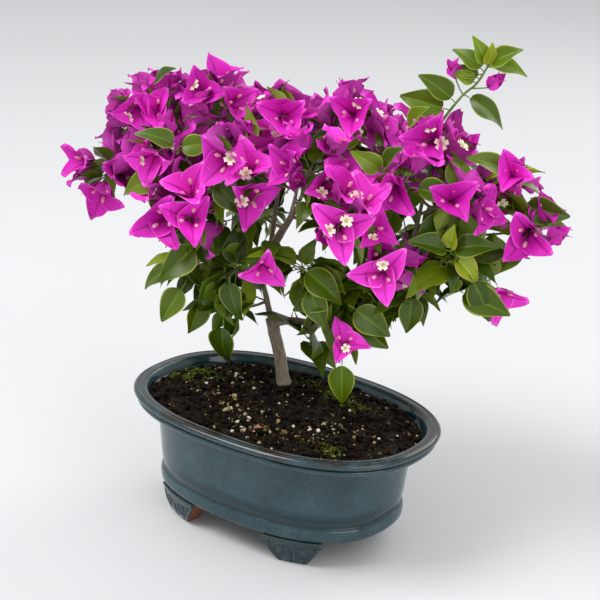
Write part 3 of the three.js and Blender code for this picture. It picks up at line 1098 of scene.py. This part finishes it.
class Mass:
    """One mass of the crown: its surface, its middle and how deep a place lies in it."""

    def __init__(self, name):
        self.name = name
        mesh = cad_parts[name].data
        points = [v.co.copy() for v in mesh.vertices]
        self.surface = BVHTree.FromPolygons(points, [tuple(p.vertices) for p in mesh.polygons])
        low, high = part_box(name)
        self.middle = (low + high) / 2
        self.blossoms = name.startswith("blossom")

    def reach(self, direction):
        """The surface point that way from the middle, and how far it is."""
        point, _, _, length = self.surface.ray_cast(self.middle, direction)
        return point, length

    def depth(self, place):
        """How far out a place lies: 0 at the middle, 1 on the surface."""
        away = place - self.middle
        if away.length < 1e-6:
            return 0.0
        _, length = self.reach(away.normalized())
        return away.length / length if length else 9.0


MASSES = [Mass(n) for n in sorted(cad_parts) if n.split("_")[0] in ("blossom", "foliage")]
MASS_NAMED = {mass.name: mass for mass in MASSES}
SHOOT_MASSES = [n for n in sorted(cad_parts) if n.startswith("shoot_leaves")]


def region(name):
    for word in ("back", "left", "right"):
        if word in name:
            return word
    return "centre"


def exposed(place, mass):
    """True where a place on a mass's surface faces the open air, and not another mass."""
    for other in MASSES:
        if other is mass:
            continue
        if other.depth(place) < 0.96:
            return False
        _, _, _, gap = other.surface.find_nearest(place)
        if gap is not None and gap < 0.8 * MM:
            return False
    return True


# ---- growth ----

low_corner, high_corner = (Vector(c) for c in cad_bounds)
spare = (high_corner - low_corner) * 0.022
LIMIT_LOW, LIMIT_HIGH = low_corner - spare, high_corner + spare
leaves, bracts, tube_copies, stars = {}, {}, [], []
brown_runs, green_runs = [], []
triad_places, leaf_places = [], []

GREENS = 6
PINKS = 5


def inside_limits(pattern, place):
    turn, shift = np.array(place.to_3x3()), np.array(place.translation)
    points = pattern[0] @ turn.T + shift
    return (points > np.array(LIMIT_LOW)).all() and (points < np.array(LIMIT_HIGH)).all()


def frame_on(place, forward, upper, size):
    """A placement whose Y runs forward and whose Z is as near the upper direction as it can be."""
    y = forward.normalized()
    x = y.cross(upper)
    if x.length < 1e-3:
        x = y.orthogonal()
    x.normalize()
    z = x.cross(y)
    turn = Matrix((x, y, z)).transposed() * size
    return Matrix.Translation(place) @ turn.to_4x4()


def stand_on(place, axis, turn, size):
    """A placement whose Z runs along the axis, turned about it."""
    z = axis.normalized()
    x = z.orthogonal().normalized()
    y = z.cross(x)
    basis = Matrix((x, y, z)).transposed() @ Matrix.Rotation(turn, 3, "Z") * size
    return Matrix.Translation(place) @ basis.to_4x4()


def random_way(luck):
    while True:
        way = Vector([luck.uniform(-1, 1) for _ in range(3)])
        if 0.05 < way.length < 1:
            return way.normalized()


def bowed(start, finish, bow, steps):
    """Points on an even bend from the start to the finish."""
    middle = (start + finish) / 2 + bow
    made = []
    for step in range(steps + 1):
        t = step / steps
        made.append(start * (1 - t) ** 2 + middle * 2 * t * (1 - t) + finish * t * t)
    return made


def tapered(start, end, count):
    return [start + (end - start) * i / (count - 1) for i in range(count)]


def near_masses(place, allow):
    """True where a place lies in a mass, or at most a little outside one."""
    return any(mass.depth(place) < allow for mass in MASSES)


def add_leaf(group, root, forward, upper, size, tint, luck, stalk=7.0, kinds=LEAVES, free=False):
    """A leaf on its stalk. The stalk leaves the twig and turns into the leaf's own direction."""
    foot = root + forward.normalized() * stalk * size * MM
    pattern = luck.choice(kinds)
    place = frame_on(foot, forward, upper, size)
    tip = place @ Vector((0, 0.9 * LEAF_LONG * MM, -0.2 * LEAF_LONG * MM))
    if not inside_limits(pattern, place) or not (free or near_masses(tip, 1.14)):
        return False
    leaves.setdefault(group, []).append((pattern, place, tint * ZONES))
    bow = Vector((0, 0, 0.12)) * stalk * size * MM
    stem = bowed(root, foot + forward.normalized() * 0.6 * MM, bow, 3)
    green_runs.append((stem, tapered(0.5 * MM, 0.35 * MM, 4)))
    leaf_places.append(foot)
    return True


def add_triad(
    group, place, axis, size, opening, tint, luck, turn=None, open_flowers=None, free=False, trios=OPENINGS
):
    """Three bracts round their three tubes, facing along the axis."""
    turn = luck.uniform(0, FULL_TURN) if turn is None else turn
    made = []
    for i, pattern in enumerate(trios[opening]):
        own = turn + i * math.tau / 3 + luck.uniform(-0.2, 0.2)
        tilt = axis + random_way(luck) * 0.08
        at = stand_on(place, tilt, own, size * luck.uniform(0.92, 1.06))
        end = at @ (Vector((0, 0.72, 0.62)) * BRACT_LONG * MM)
        if not inside_limits(pattern, at) or not (free or near_masses(end, 1.3)):
            return False
        made.append((pattern, at, tint * ZONES))
    bracts.setdefault(group, []).extend(made)
    count = luck.choice((0, 0, 1, 1, 2)) if open_flowers is None else open_flowers
    if opening == SHUT:
        count = 0
    for i in range(3):
        own = turn + (i + 0.25) * math.tau / 3 + math.pi / 2
        z = axis.normalized()
        x = z.orthogonal().normalized()
        side = x * math.cos(own) + z.cross(x) * math.sin(own)
        lean = (z + side * (0.05 if opening == SHUT else 0.42)).normalized()
        at = stand_on(place + side * 0.9 * MM, lean, luck.uniform(0, STAR_TURN), size * 0.95)
        if i < count:
            tube_copies.append((OPEN_TUBE, at, 0))
            tip = place + side * 0.9 * MM + lean * 15.7 * size * 0.95 * MM
            stars.append((STAR, stand_on(tip, lean, luck.uniform(0, STAR_TURN), size), 0))
        else:
            tube_copies.append((BUD_TUBE, at, 0))
    triad_places.append(place)
    return True


def twig_way(start, finish, luck, axis=None):
    """The points of a twig from one place to another, arriving along the axis if one is given."""
    span = (finish - start).length
    bow = random_way(luck) * span * 0.12 + Vector((0, 0, -0.06 * span))
    if axis:
        bow = (finish - start) * 0.5 - axis * min(0.5 * span, 16 * MM)
    return bowed(start, finish, bow, 6)


def add_twig(points, thick, thin, brown):
    (brown_runs if brown else green_runs).append((points, tapered(thick * MM, thin * MM, len(points))))


def leaves_along(group, points, first, last, count, size, tint_of, luck, outward, hang):
    """Alternate leaves along a twig, each turned to the next side. Returns how many grew."""
    side, grown = random_way(luck), 0
    for i in range(count):
        share = first + (last - first) * (i / max(count - 1, 1))
        where = share * (len(points) - 1)
        low = min(int(where), len(points) - 2)
        root = points[low].lerp(points[low + 1], where - low)
        ahead = (points[low + 1] - points[low]).normalized()
        side = (side - ahead * side.dot(ahead)).normalized()
        side = Matrix.Rotation(math.radians(137 + luck.uniform(-25, 25)), 3, ahead) @ side
        forward = (side + ahead * 0.55 + outward * 0.45 + Vector((0, 0, -hang))).normalized()
        upper = Vector((0, 0, 1)) + outward * 0.55 + random_way(luck) * 0.25
        scale = size * luck.uniform(0.8, 1.1) * (1 - 0.25 * i / max(count, 1))
        tint = tint_of()
        sizes = (scale, scale * 0.85, scale * 0.72)
        grown += any(add_leaf(group, root, forward, upper, tried, tint, luck) for tried in sizes)
    return grown


def apart(place, others, spacing):
    return all((place - other).length > spacing * MM for other in others)


def sphere_ways(count, luck):
    """Evenly spread directions, in a shuffled order."""
    turn = luck.uniform(0, FULL_TURN)
    ways = []
    for i in range(count):
        z = 1 - 2 * (i + 0.5) / count
        ring = math.sqrt(1 - z * z)
        angle = i * math.pi * (3 - math.sqrt(5)) + turn
        ways.append(Vector((ring * math.cos(angle), ring * math.sin(angle), z)))
    luck.shuffle(ways)
    return ways


def limb_places(runs):
    return [(point, radius) for points, radii in runs[1:] for point, radius in zip(points, radii)]


def branch_into(mass, sources, luck):
    """The branch from the nearest bough into the middle of a mass."""

    def cost(source):
        point, _ = source
        low = 0.05 if point.z < 0.15 and mass.middle.x < point.x else 0
        return (point - mass.middle).length + 0.6 * max(point.z - mass.middle.z + 0.012, 0) + low

    start, radius = min(sources, key=cost)
    span = (mass.middle - start).length
    bow = Vector((0, 0, -0.1 * span)) + random_way(luck) * span * 0.08
    points = bowed(start, mass.middle, bow, 8)
    thick = min(radius / MM * 0.8, 0.9 + span / MM * 0.008)
    brown_runs.append((points, tapered(thick * MM, 0.7 * MM, 9)))
    return points


def green_tone(luck, young=0.1):
    return lambda: GREENS - 1 if luck.random() < young else luck.choice((0, 0, 1, 1, 2, 2, 3, 4))


def grow_under_leaves(group, branch, base, outward, luck):
    """A leafy twig below a mass of blossom."""
    root = min(branch[3:], key=lambda p: (p - base).length)
    twig = twig_way(root, base, luck)
    if leaves_along(group, twig, 0.35, 1.0, 3, 1.0, green_tone(luck), luck, outward, 0.45):
        add_twig(twig, 0.7, 0.4, luck.random() < 0.5)


# How often a bloom opens each way, where it looks up and where it looks to the side.
UPRIGHT = (WIDE, WIDE, WIDE, HALF, HALF, HALF, HALF, SHUT)
SIDEWAYS = (OPEN, OPEN, OPEN, WIDE, WIDE, WIDE, HALF, SHUT)


def grow_blossom(mass, branch, luck):
    """Blossom over the open side of a mass, each bloom on its twig with leaves behind it."""
    group = region(mass.name)
    centre_front = on_plant(0, 30, 225)
    for way in sphere_ways(190, luck):
        point, length = mass.reach(way)
        if point is None or not exposed(point, mass):
            continue
        outward = ((point - centre_front).normalized() + way * 0.6).normalized()
        base = point - way * min(12 * MM, length * 0.45)
        if way.z < -0.62:
            if apart(base, leaf_places, 11):
                grow_under_leaves(group, branch, base, outward, luck)
            continue
        if not apart(base, triad_places, TRIAD_SPACING):
            continue
        root = min(branch[3:], key=lambda p: (p - base).length + 0.3 * max(p.z - base.z, 0))
        axis = (outward + Vector((0, 0, 0.4)) + random_way(luck) * 0.5).normalized()
        opening = luck.choice(UPRIGHT if axis.z > 0.72 else SIDEWAYS)
        size = luck.uniform(1.08, 1.3) * (0.55 if opening == SHUT else 1.0)
        tint = luck.randrange(PINKS)
        sizes = (size, size * 0.86, size * 0.74)
        if not any(add_triad(group, base, axis, tried, opening, tint, luck) for tried in sizes):
            continue
        twig = twig_way(root, base, luck, axis)
        add_twig(twig, 0.8, 0.5, luck.random() < 0.5)
        leaf_size = luck.uniform(0.7, 0.95)
        leaves_along(group, twig, 0.15, 0.7, 2, leaf_size, green_tone(luck), luck, outward, 0.1)


def grow_foliage(mass, branch, luck):
    """Leafy twigs over the open side of a mass, hanging where it faces down."""
    group = "skirt" if "back" not in mass.name else "back"
    for way in sphere_ways(130, luck):
        point, length = mass.reach(way)
        if point is None or not exposed(point, mass):
            continue
        base = point - way * min(22 * MM, length * 0.7)
        if not apart(base, leaf_places, SPRAY_SPACING * 0.45):
            continue
        root = min(branch[3:], key=lambda p: (p - base).length)
        twig = twig_way(root, base, luck)
        outward = Vector((way.x, way.y, way.z * 0.3)).normalized()
        hang = 0.7 if way.z < 0 else 0.35
        count = luck.choice((3, 4, 4, 5))
        size = luck.uniform(0.98, 1.18)
        if leaves_along(group, twig, 0.35, 1.0, count, size, green_tone(luck, 0.06), luck, outward, hang):
            add_twig(twig, 0.75, 0.45, luck.random() < 0.4)


def grow_inner_leaves(runs, luck):
    """Short leafy twigs along the boughs themselves, which fill the crown from inside."""
    for points, _ in runs[1:]:
        length = sum((b - a).length for a, b in zip(points, points[1:]))
        count = int(length / (9 * MM))
        for i in range(count):
            share = 0.3 + 0.66 * (i + luck.random()) / count
            root = points[int(share * (len(points) - 1))]
            if root.z < 0.16 and luck.random() < 0.6:
                continue
            way = random_way(luck)
            way.z = abs(way.z) * 0.6 - 0.1
            end = root + way.normalized() * luck.uniform(18, 42) * MM
            if not near_masses(end, 1.0):
                continue
            twig = twig_way(root, end, luck)
            size = luck.uniform(0.8, 1.05)
            if leaves_along("inner", twig, 0.4, 1.0, 4, size, green_tone(luck, 0.04), luck, way, 0.25):
                add_twig(twig, 0.7, 0.45, luck.random() < 0.5)


# Leaves that stand out: the mass, (turn, rise) from its middle to the leaf's foot, (turn, rise) of the
# blade, its size and its tint.
SHOWY_LEAVES = [
    ("blossom_left_top", (70, 60), (30, 45), 0.7, 0),
    ("blossom_left_middle", (50, 20), (140, 35), 0.8, 1),
    ("blossom_left_middle", (50, 20), (5, 15), 0.75, 2),
    ("blossom_left_middle", (70, -25), (150, -25), 0.9, 3),
    ("blossom_centre_left", (130, -20), (20, -35), 0.85, 0),
    ("blossom_left_lower", (50, -45), (130, -40), 1.0, 1),
    ("foliage_left", (80, -10), (140, -55), 0.9, 2),
    ("foliage_left", (100, 15), (160, -20), 0.8, 1),
    ("foliage_left", (50, -30), (120, -75), 0.85, 2),
    ("foliage_left_low", (80, -20), (100, -82), 1.0, 0),
    ("foliage_centre", (80, 20), (10, -25), 1.0, 1),
    ("foliage_centre", (60, -20), (20, -60), 0.85, 1),
    ("foliage_centre_left", (90, 0), (60, -60), 0.85, 0),
    ("blossom_centre_top_right", (60, -10), (150, -10), 0.8, 2),
    ("blossom_right_top", (140, 30), (40, 50), 0.7, 3),
    ("blossom_right_centre", (120, 30), (130, 35), 0.7, 3),
    ("blossom_right_centre", (120, 30), (40, 55), 0.7, 4),
    ("blossom_right_centre", (60, 10), (-5, -5), 0.8, 1),
    ("foliage_right_lower", (90, 40), (140, 20), 0.85, 4),
    ("foliage_right_lower", (90, 40), (80, 70), 0.55, 5),
    ("foliage_right_lower", (90, 40), (20, 30), 0.85, 4),
    ("foliage_right_lower", (90, 40), (0, -40), 0.8, 5),
    ("foliage_right_lower", (50, 0), (20, -50), 0.95, 0),
    ("foliage_right_lower", (70, -35), (5, -15), 1.05, 1),
    ("blossom_right_upper_end", (70, 40), (150, 25), 0.8, 2),
    ("blossom_right_upper_end", (50, -20), (0, -10), 0.95, 1),
    ("foliage_right", (70, 0), (0, -30), 1.0, 1),
    ("foliage_right", (90, 20), (150, -20), 0.9, 0),
    ("foliage_far_right", (80, 20), (60, -70), 0.85, 1),
    ("blossom_low_single", (75, 5), (60, -80), 0.9, 2),
    ("foliage_right", (60, -45), (0, -35), 0.95, 1),
    ("foliage_under_right", (50, 0), (20, -20), 0.55, 2),
]
TO_THE_LIGHT = heading(75, 20)


def grow_showy_leaves(luck):
    for name, foot, way, size, tint in SHOWY_LEAVES:
        mass, outward = MASS_NAMED[name], heading(*foot)
        root = mass.middle.lerp(mass.reach(outward)[0], 0.9)
        face = (outward + TO_THE_LIGHT * 0.6 + random_way(luck) * 0.5 + Vector((0, 0, 0.5))).normalized()
        add_twig(twig_way(mass.middle, root, luck), 0.6, 0.45, False)
        add_leaf("showy", root, heading(*way), face, size, tint, luck, 5.0, FINE_LEAVES, True)


wood_bark = bark_material("taupe_bark", colour("C2B29E"), colour("9C8B7A"), colour("54443A"), 900.0)
wood_piece, wood_runs = wood(wood_bark)
sources = limb_places(wood_runs)
shoot_run = limb_run(*SHOOT, steps=40)

# Blooms that stand out: mass, (turn, rise) from its middle, size, opening, open flowers.
SHOWY_BLOOMS = [
    ("blossom_low_single", (80, 50), 0.82, OPEN, 1),
    ("blossom_left_single", (70, 0), 0.95, WIDE, 0),
    ("blossom_front_low", (75, 10), 1.0, OPEN, 1),
    ("blossom_centre_low", (85, -5), 1.1, OPEN, 2),
    ("blossom_centre_low", (35, 30), 1.1, HALF, 1),
    ("blossom_centre_left", (100, 30), 1.15, WIDE, 1),
    ("blossom_centre_left", (60, -55), 1.2, WIDE, 1),
    ("blossom_left_lower", (130, -10), 1.15, WIDE, 0),
    ("blossom_left_lower", (65, -10), 1.15, WIDE, 0),
    ("blossom_left_lower", (60, 45), 1.15, HALF, 0),
    ("blossom_left_end", (110, 25), 1.05, HALF, 0),
    ("blossom_left_end", (75, -25), 1.05, WIDE, 0),
    ("blossom_left_end", (50, 0), 1.15, WIDE, 1),
    ("blossom_left_top", (100, 15), 1.1, HALF, 1),
    ("blossom_left_top", (60, 0), 1.05, HALF, 0),
    ("blossom_left_middle", (90, 10), 1.15, HALF, 1),
    ("blossom_peak", (110, 20), 1.1, HALF, 1),
    ("blossom_peak", (70, 50), 1.0, HALF, 0),
    ("blossom_peak", (50, 5), 1.0, WIDE, 0),
    ("blossom_centre_top", (80, 25), 1.2, HALF, 0),
    ("blossom_centre_top_right", (75, 30), 1.1, HALF, 1),
    ("blossom_centre_front", (100, 20), 1.1, HALF, 0),
    ("blossom_centre_front", (50, -20), 1.05, WIDE, 1),
    ("blossom_right_centre", (90, 15), 1.1, HALF, 0),
    ("blossom_right_top", (75, 20), 1.2, HALF, 2),
    ("blossom_right_middle", (90, 20), 1.1, HALF, 0),
    ("blossom_right_middle", (40, 10), 1.0, WIDE, 0),
    ("blossom_right_upper_end", (50, 30), 0.95, HALF, 0),
    ("blossom_right_end", (80, 15), 1.15, WIDE, 0),
    ("blossom_right_end", (30, -5), 1.15, WIDE, 0),
    ("foliage_right_low", (40, 0), 1.0, WIDE, 0),
]


def grow_showy_blooms(luck):
    for number, (name, way, size, opening, flowers) in enumerate(SHOWY_BLOOMS):
        mass, outward, tint = MASS_NAMED[name], heading(*way), luck.randrange(PINKS)
        base = mass.middle.lerp(mass.reach(outward)[0], 0.58)
        axis = (outward + TO_THE_LIGHT * 0.35 + random_way(luck) * 0.6).normalized()
        turn = 2.6 - 0.37 * number
        group = region(name)
        looks = (opening, tint, luck, turn, flowers, True, FINE_OPENINGS)
        any(add_triad(group, base, axis, size * less, *looks) for less in (1, 0.94, 0.88, 0.8, 0.7))
        start = mass.middle
        if "single" in name:
            start = min(sources, key=lambda source: (source[0] - base).length)[0]
        twig = twig_way(start, base, luck, axis)
        add_twig(twig, 0.9, 0.6, True)
        leaves_along(group, twig, 0.4, 0.75, 2, 0.9, green_tone(luck), luck, -axis, 0.3)


# Leaves and buds of the tall shoot: share along it, (turn, rise), (turn, rise) of the face, size, tint.
SHOOT_LEAVES = [
    (0.56, (172, 38), (70, 40), 0.85, 1),
    (0.5, (165, 14), (60, 10), 0.95, 2),
    (0.62, (5, -20), (60, 50), 0.95, 1),
    (0.8, (150, 30), (60, 30), 0.5, 3),
    (0.86, (185, 20), (60, 40), 0.6, 2),
    (0.93, (165, 45), (60, 30), 0.7, 2),
    (0.97, (120, 62), (60, 10), 0.6, 3),
    (1.0, (30, 34), (70, 40), 0.75, 2),
    (1.0, (15, 12), (60, 50), 0.7, 3),
    (0.98, (60, 60), (60, -10), 0.5, 5),
    (0.95, (300, 30), (60, 40), 0.5, 5),
    (0.9, (200, -10), (60, 30), 0.55, 3),
]
SHOOT_BUDS = [(0.62, (172, 60)), (0.72, (10, 10))]


def grow_shoot(luck):
    points, radii = shoot_run
    green_runs.append((points, radii))
    last = len(points) - 1
    for share, way, face, size, tint in SHOOT_LEAVES:
        root = points[round(share * last)]
        add_leaf("right", root, heading(*way), heading(*face), size, tint, luck, 5.0, FINE_LEAVES, True)
    for share, way in SHOOT_BUDS:
        root, forward = points[round(share * last)], heading(*way)
        twig = twig_way(root, root + forward * 12 * MM, luck)
        add_twig(twig, 0.55, 0.45, False)
        axis = (forward + Vector((0, 0, 0.8))).normalized()
        add_triad("right", twig[-1], axis, 0.55, SHUT, 0, luck, free=True)


# Thorns on the right bough: how far along it each stands, and where it points.
THORNS = [(0.1, (140, 55)), (0.2, (50, 68)), (0.3, (170, 62)), (0.42, (30, 40)), (0.5, (120, -60))]


def grow_thorns(run):
    points, radii = run
    for share, way in THORNS:
        i = round(share * (len(points) - 1))
        tip = points[i] + heading(*way) * (radii[i] + 7 * MM)
        brown_runs.append(([points[i], points[i].lerp(tip, 0.6), tip], [0.8 * MM, 0.45 * MM, 0.05 * MM]))


luck = random.Random(SEED)
grow_thorns(wood_runs[list(LIMBS).index("bough_right")])
grow_showy_blooms(luck)
grow_showy_leaves(luck)
for mass in MASSES:
    own = random.Random(f"{SEED}{mass.name}")
    branch = branch_into(mass, sources, own)
    if "single" not in mass.name:
        (grow_blossom if mass.blossoms else grow_foliage)(mass, branch, own)
grow_inner_leaves(wood_runs, random.Random(SEED + 5))
grow_shoot(luck)

# ---- the crown's pieces ----

LEAF_SETS = [  # upper face, margin as a painted highlight along the edge, underside, midrib
    ("364B00", "7A882A", "647C22", "4C6210"),
    ("455A00", "84922C", "6E8620", "587010"),
    ("556B00", "8F9B34", "788E2A", "668018"),
    ("688008", "9CA83C", "829830", "788E1E"),
    ("3C5400", "7E8E2A", "688022", "526812"),
    ("8EA01A", "B89E4C", "9EB03C", "A4B23A"),
]
BRACT_SETS = [  # inner with painted shade at the base and midrib, middle, tip and edge as painted highlight, underside
    ("B2109A", "D424BC", "E450D4", "C840B6"),
    ("BE16A4", "DE2EC8", "EC62DC", "D450C4"),
    ("A40C90", "C61CB0", "DA44C8", "BE3AAC"),
    ("C41CAA", "E83ED2", "F476E4", "DE60CE"),
    ("AE1298", "D028BC", "E052D0", "C446B6"),
]
BRACT_WARMTH = (1.015, 0.9, 0.97)  # the sets' red, green and blue are brought nearer to magenta


def warmer(code):
    parts = [int(code[i : i + 2], 16) * share for i, share in zip((0, 2, 4), BRACT_WARMTH)]
    return "".join(f"{min(255, round(part)):02X}" for part in parts)


leaf_paints = [
    made
    for number, codes in enumerate(LEAF_SETS)
    for made in plain_tints(f"leaf_{number}", codes, Roughness=0.36, Specular_IOR_Level=0.34)
]
bract_paints = [
    made
    for number, codes in enumerate(BRACT_SETS)
    for made in plain_tints(
        f"bract_{number}", [warmer(code) for code in codes], Roughness=0.6, Specular_IOR_Level=0.3
    )
]
tube_paints = plain_tints("flower_tube", ("94206A", "EFA3BC"), Roughness=0.5)
star_paints = plain_tints("flower_face", ("F4EFD2", "B9C36A"), Roughness=0.6)
stalk_paint = plain_tints("green_stalk", ("6E8A34",), Roughness=0.55)[0]
twig_paint = plain_tints("brown_twig", ("94806A",), Roughness=0.8)[0]


def keep(piece, slot, *nodes):
    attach(piece, "root")
    if nodes:
        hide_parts(*nodes)


foliage_nodes = {"skirt": [], "back": [], "right": list(SHOOT_MASSES)}
blossom_nodes = {}
for mass in MASSES:
    if mass.blossoms:
        blossom_nodes.setdefault(region(mass.name), []).append(mass.name)
    else:
        foliage_nodes["back" if "back" in mass.name else "skirt"].append(mass.name)
for group, copies in leaves.items():
    keep(joined(f"leaves_{group}", copies, leaf_paints, 60), "leaf", *foliage_nodes.get(group, ()))
for group, copies in bracts.items():
    keep(joined(f"bracts_{group}", copies, bract_paints, 70), "blossom", *blossom_nodes.get(group, ()))
keep(joined("flower_tubes", tube_copies, tube_paints), "blossom")
keep(joined("flower_faces", stars, star_paints), "blossom")

twigs = tubes("brown_twigs", brown_runs, 1)
twigs.data.materials.append(twig_paint)
soften(twigs, 60)
keep(twigs, "bark")
stalks = tubes("green_stalks", green_runs, 0)
stalks.data.materials.append(stalk_paint)
soften(stalks, 100)
keep(stalks, "green_stem", "shoot_stem")
keep(wood_piece, "bark", *LIMBS)

# ---- the pot's pieces ----

GLAZE_BODY, GLAZE_DEEP = colour("35545B"), colour("19343B")
pot_glaze = glaze_material(
    "teal_glaze", GLAZE_BODY, GLAZE_DEEP, colour("022A33"),
    (0.0296, 0.044, 0.006), colour("5E5146"),
)
foot_glaze = glaze_material(
    "dark_foot_glaze", colour("2C4248"), colour("16262B"), colour("0B2B34"),
    (0.0, 0.012, 0.006), colour("3E4A48"),
)
pot = glazed_pot()
pot.data.materials.append(pot_glaze)
keep(pot, "pot_glaze", "pot_body")
clay = clay_material()
for name, foot in feet([foot_glaze, clay]).items():
    keep(foot, "foot_glaze", name)

keep(soil_bed(soil_material()), "soil", "soil")
crumb_paints = plain_tints("crumb", ("090502", "150D06", "24160A"), Roughness=0.95, Specular_IOR_Level=0.12)
keep(joined("soil_crumbs", scatter_on_soil(CRUMBS, 2600, (0.9, 5.6), 3, 21), crumb_paints, 30), "soil")
grit_paints = plain_tints("grit", ("D6D0BC", "A08C66", "665226", "84723A"), Roughness=0.9)
grit = scatter_on_soil(CRUMBS, 260, (0.7, 3.2), 4, 22)
GRIT_SPOTS = [(-0.5, -0.2), (-0.2, -0.4), (0.1, -0.7), (0.3, -0.4), (0.5, 0.0), (-0.6, 0.3)]
grit += scatter_on_soil(CRUMBS, 300, (0.8, 4.4), 4, 24, GRIT_SPOTS, 0.25, 12.0)
keep(joined("soil_grit", grit, grit_paints, 30), "soil")
MOSS_SPOTS = [(-0.9, 0.0), (-0.85, 0.2), (-0.1, 0.8), (0.1, 0.7), (0.3, 0.6), (0.6, -0.5)]
moss_paints = plain_tints("moss", ("2C3408", "404C10", "58661A"), Roughness=0.95, Specular_IOR_Level=0.15)
moss = scatter_on_soil(CRUMBS, 2200, (0.9, 2.8), 3, 23, MOSS_SPOTS, 0.3, 8.0)
keep(joined("soil_moss", moss, moss_paints, 30), "soil")

# The dry bract keeps the same zones: painted shade at its base, painted highlight on its tip and edges.
dry_paints = plain_tints("dry_bract", ("8A5A4A", "9A6C58", "A67C68", "946656"), Roughness=0.9)
FALLEN = (0.1, -0.75)
FALLEN_UP = 87.2
spot = on_pot(FALLEN[0] * SOIL_HALF[0], FALLEN[1] * SOIL_HALF[1], FALLEN_UP)
fallen = frame_on(spot, heading(20, 4), Vector((0, 0, 1)), 0.36)
keep(joined("fallen_bract", [(FINE_OPENINGS[OPEN][0], fallen, 0)], dry_paints, 70), "blossom")

# ---- floor, light and camera ----


def floor():
    made, _, _ = material("pale_floor", Base_Color=(0.66, 0.665, 0.67, 1), Roughness=0.6)
    piece = new_piece("floor", bpy.ops.mesh.primitive_plane_add, size=24)
    piece.data.materials.append(made)


def soft_light(name, place, aim, size, power, tone=(1, 1, 1)):
    lamp = bpy.data.lights.new(name, "AREA")
    lamp.size = size
    lamp.energy = power
    lamp.color = tone
    thing = bpy.data.objects.new(name, lamp)
    thing.location = place
    thing.rotation_euler = (Vector(aim) - Vector(place)).to_track_quat("-Z", "Y").to_euler()
    bpy.context.scene.collection.objects.link(thing)


def studio():
    floor()
    world = bpy.data.worlds.new("studio")
    world.use_nodes = True
    world.node_tree.nodes["Background"].inputs["Color"].default_value = (0.96, 0.975, 1.0, 1)
    world.node_tree.nodes["Background"].inputs["Strength"].default_value = 0.75
    bpy.context.scene.world = world
    aim = (0, 0, 0.2)
    soft_light("key", (-0.9, -1.1, 2.0), aim, 1.3, 38)
    soft_light("fill", (1.9, -0.6, 1.2), aim, 1.6, 14)
    soft_light("rear", (0.3, 1.9, 1.6), aim, 1.4, 16)
    bpy.context.scene.view_settings.view_transform = "Standard"


def camera():
    azimuth, elevation, roll = (
        math.radians(a) for a in (CAMERA_AZIMUTH, CAMERA_ELEVATION, CAMERA_ROLL)
    )
    back = Vector(
        (
            math.sin(azimuth) * math.cos(elevation),
            -math.cos(azimuth) * math.cos(elevation),
            math.sin(elevation),
        )
    )
    level = Vector((math.cos(azimuth), math.sin(azimuth), 0))
    above = back.cross(level)
    right = level * math.cos(roll) + above * math.sin(roll)
    up = above * math.cos(roll) - level * math.sin(roll)
    lens = bpy.data.cameras.new("view")
    lens.lens = LENS_LENGTH
    lens.sensor_width = FILM_WIDTH
    thing = bpy.data.objects.new("view", lens)
    bpy.context.scene.collection.objects.link(thing)
    place = on_pot(*CAMERA_PLACE)
    turn = Matrix((right, up, back)).transposed().to_4x4()
    thing.matrix_world = Matrix.Translation(place) @ turn
    bpy.context.scene.camera = thing


studio()
camera()
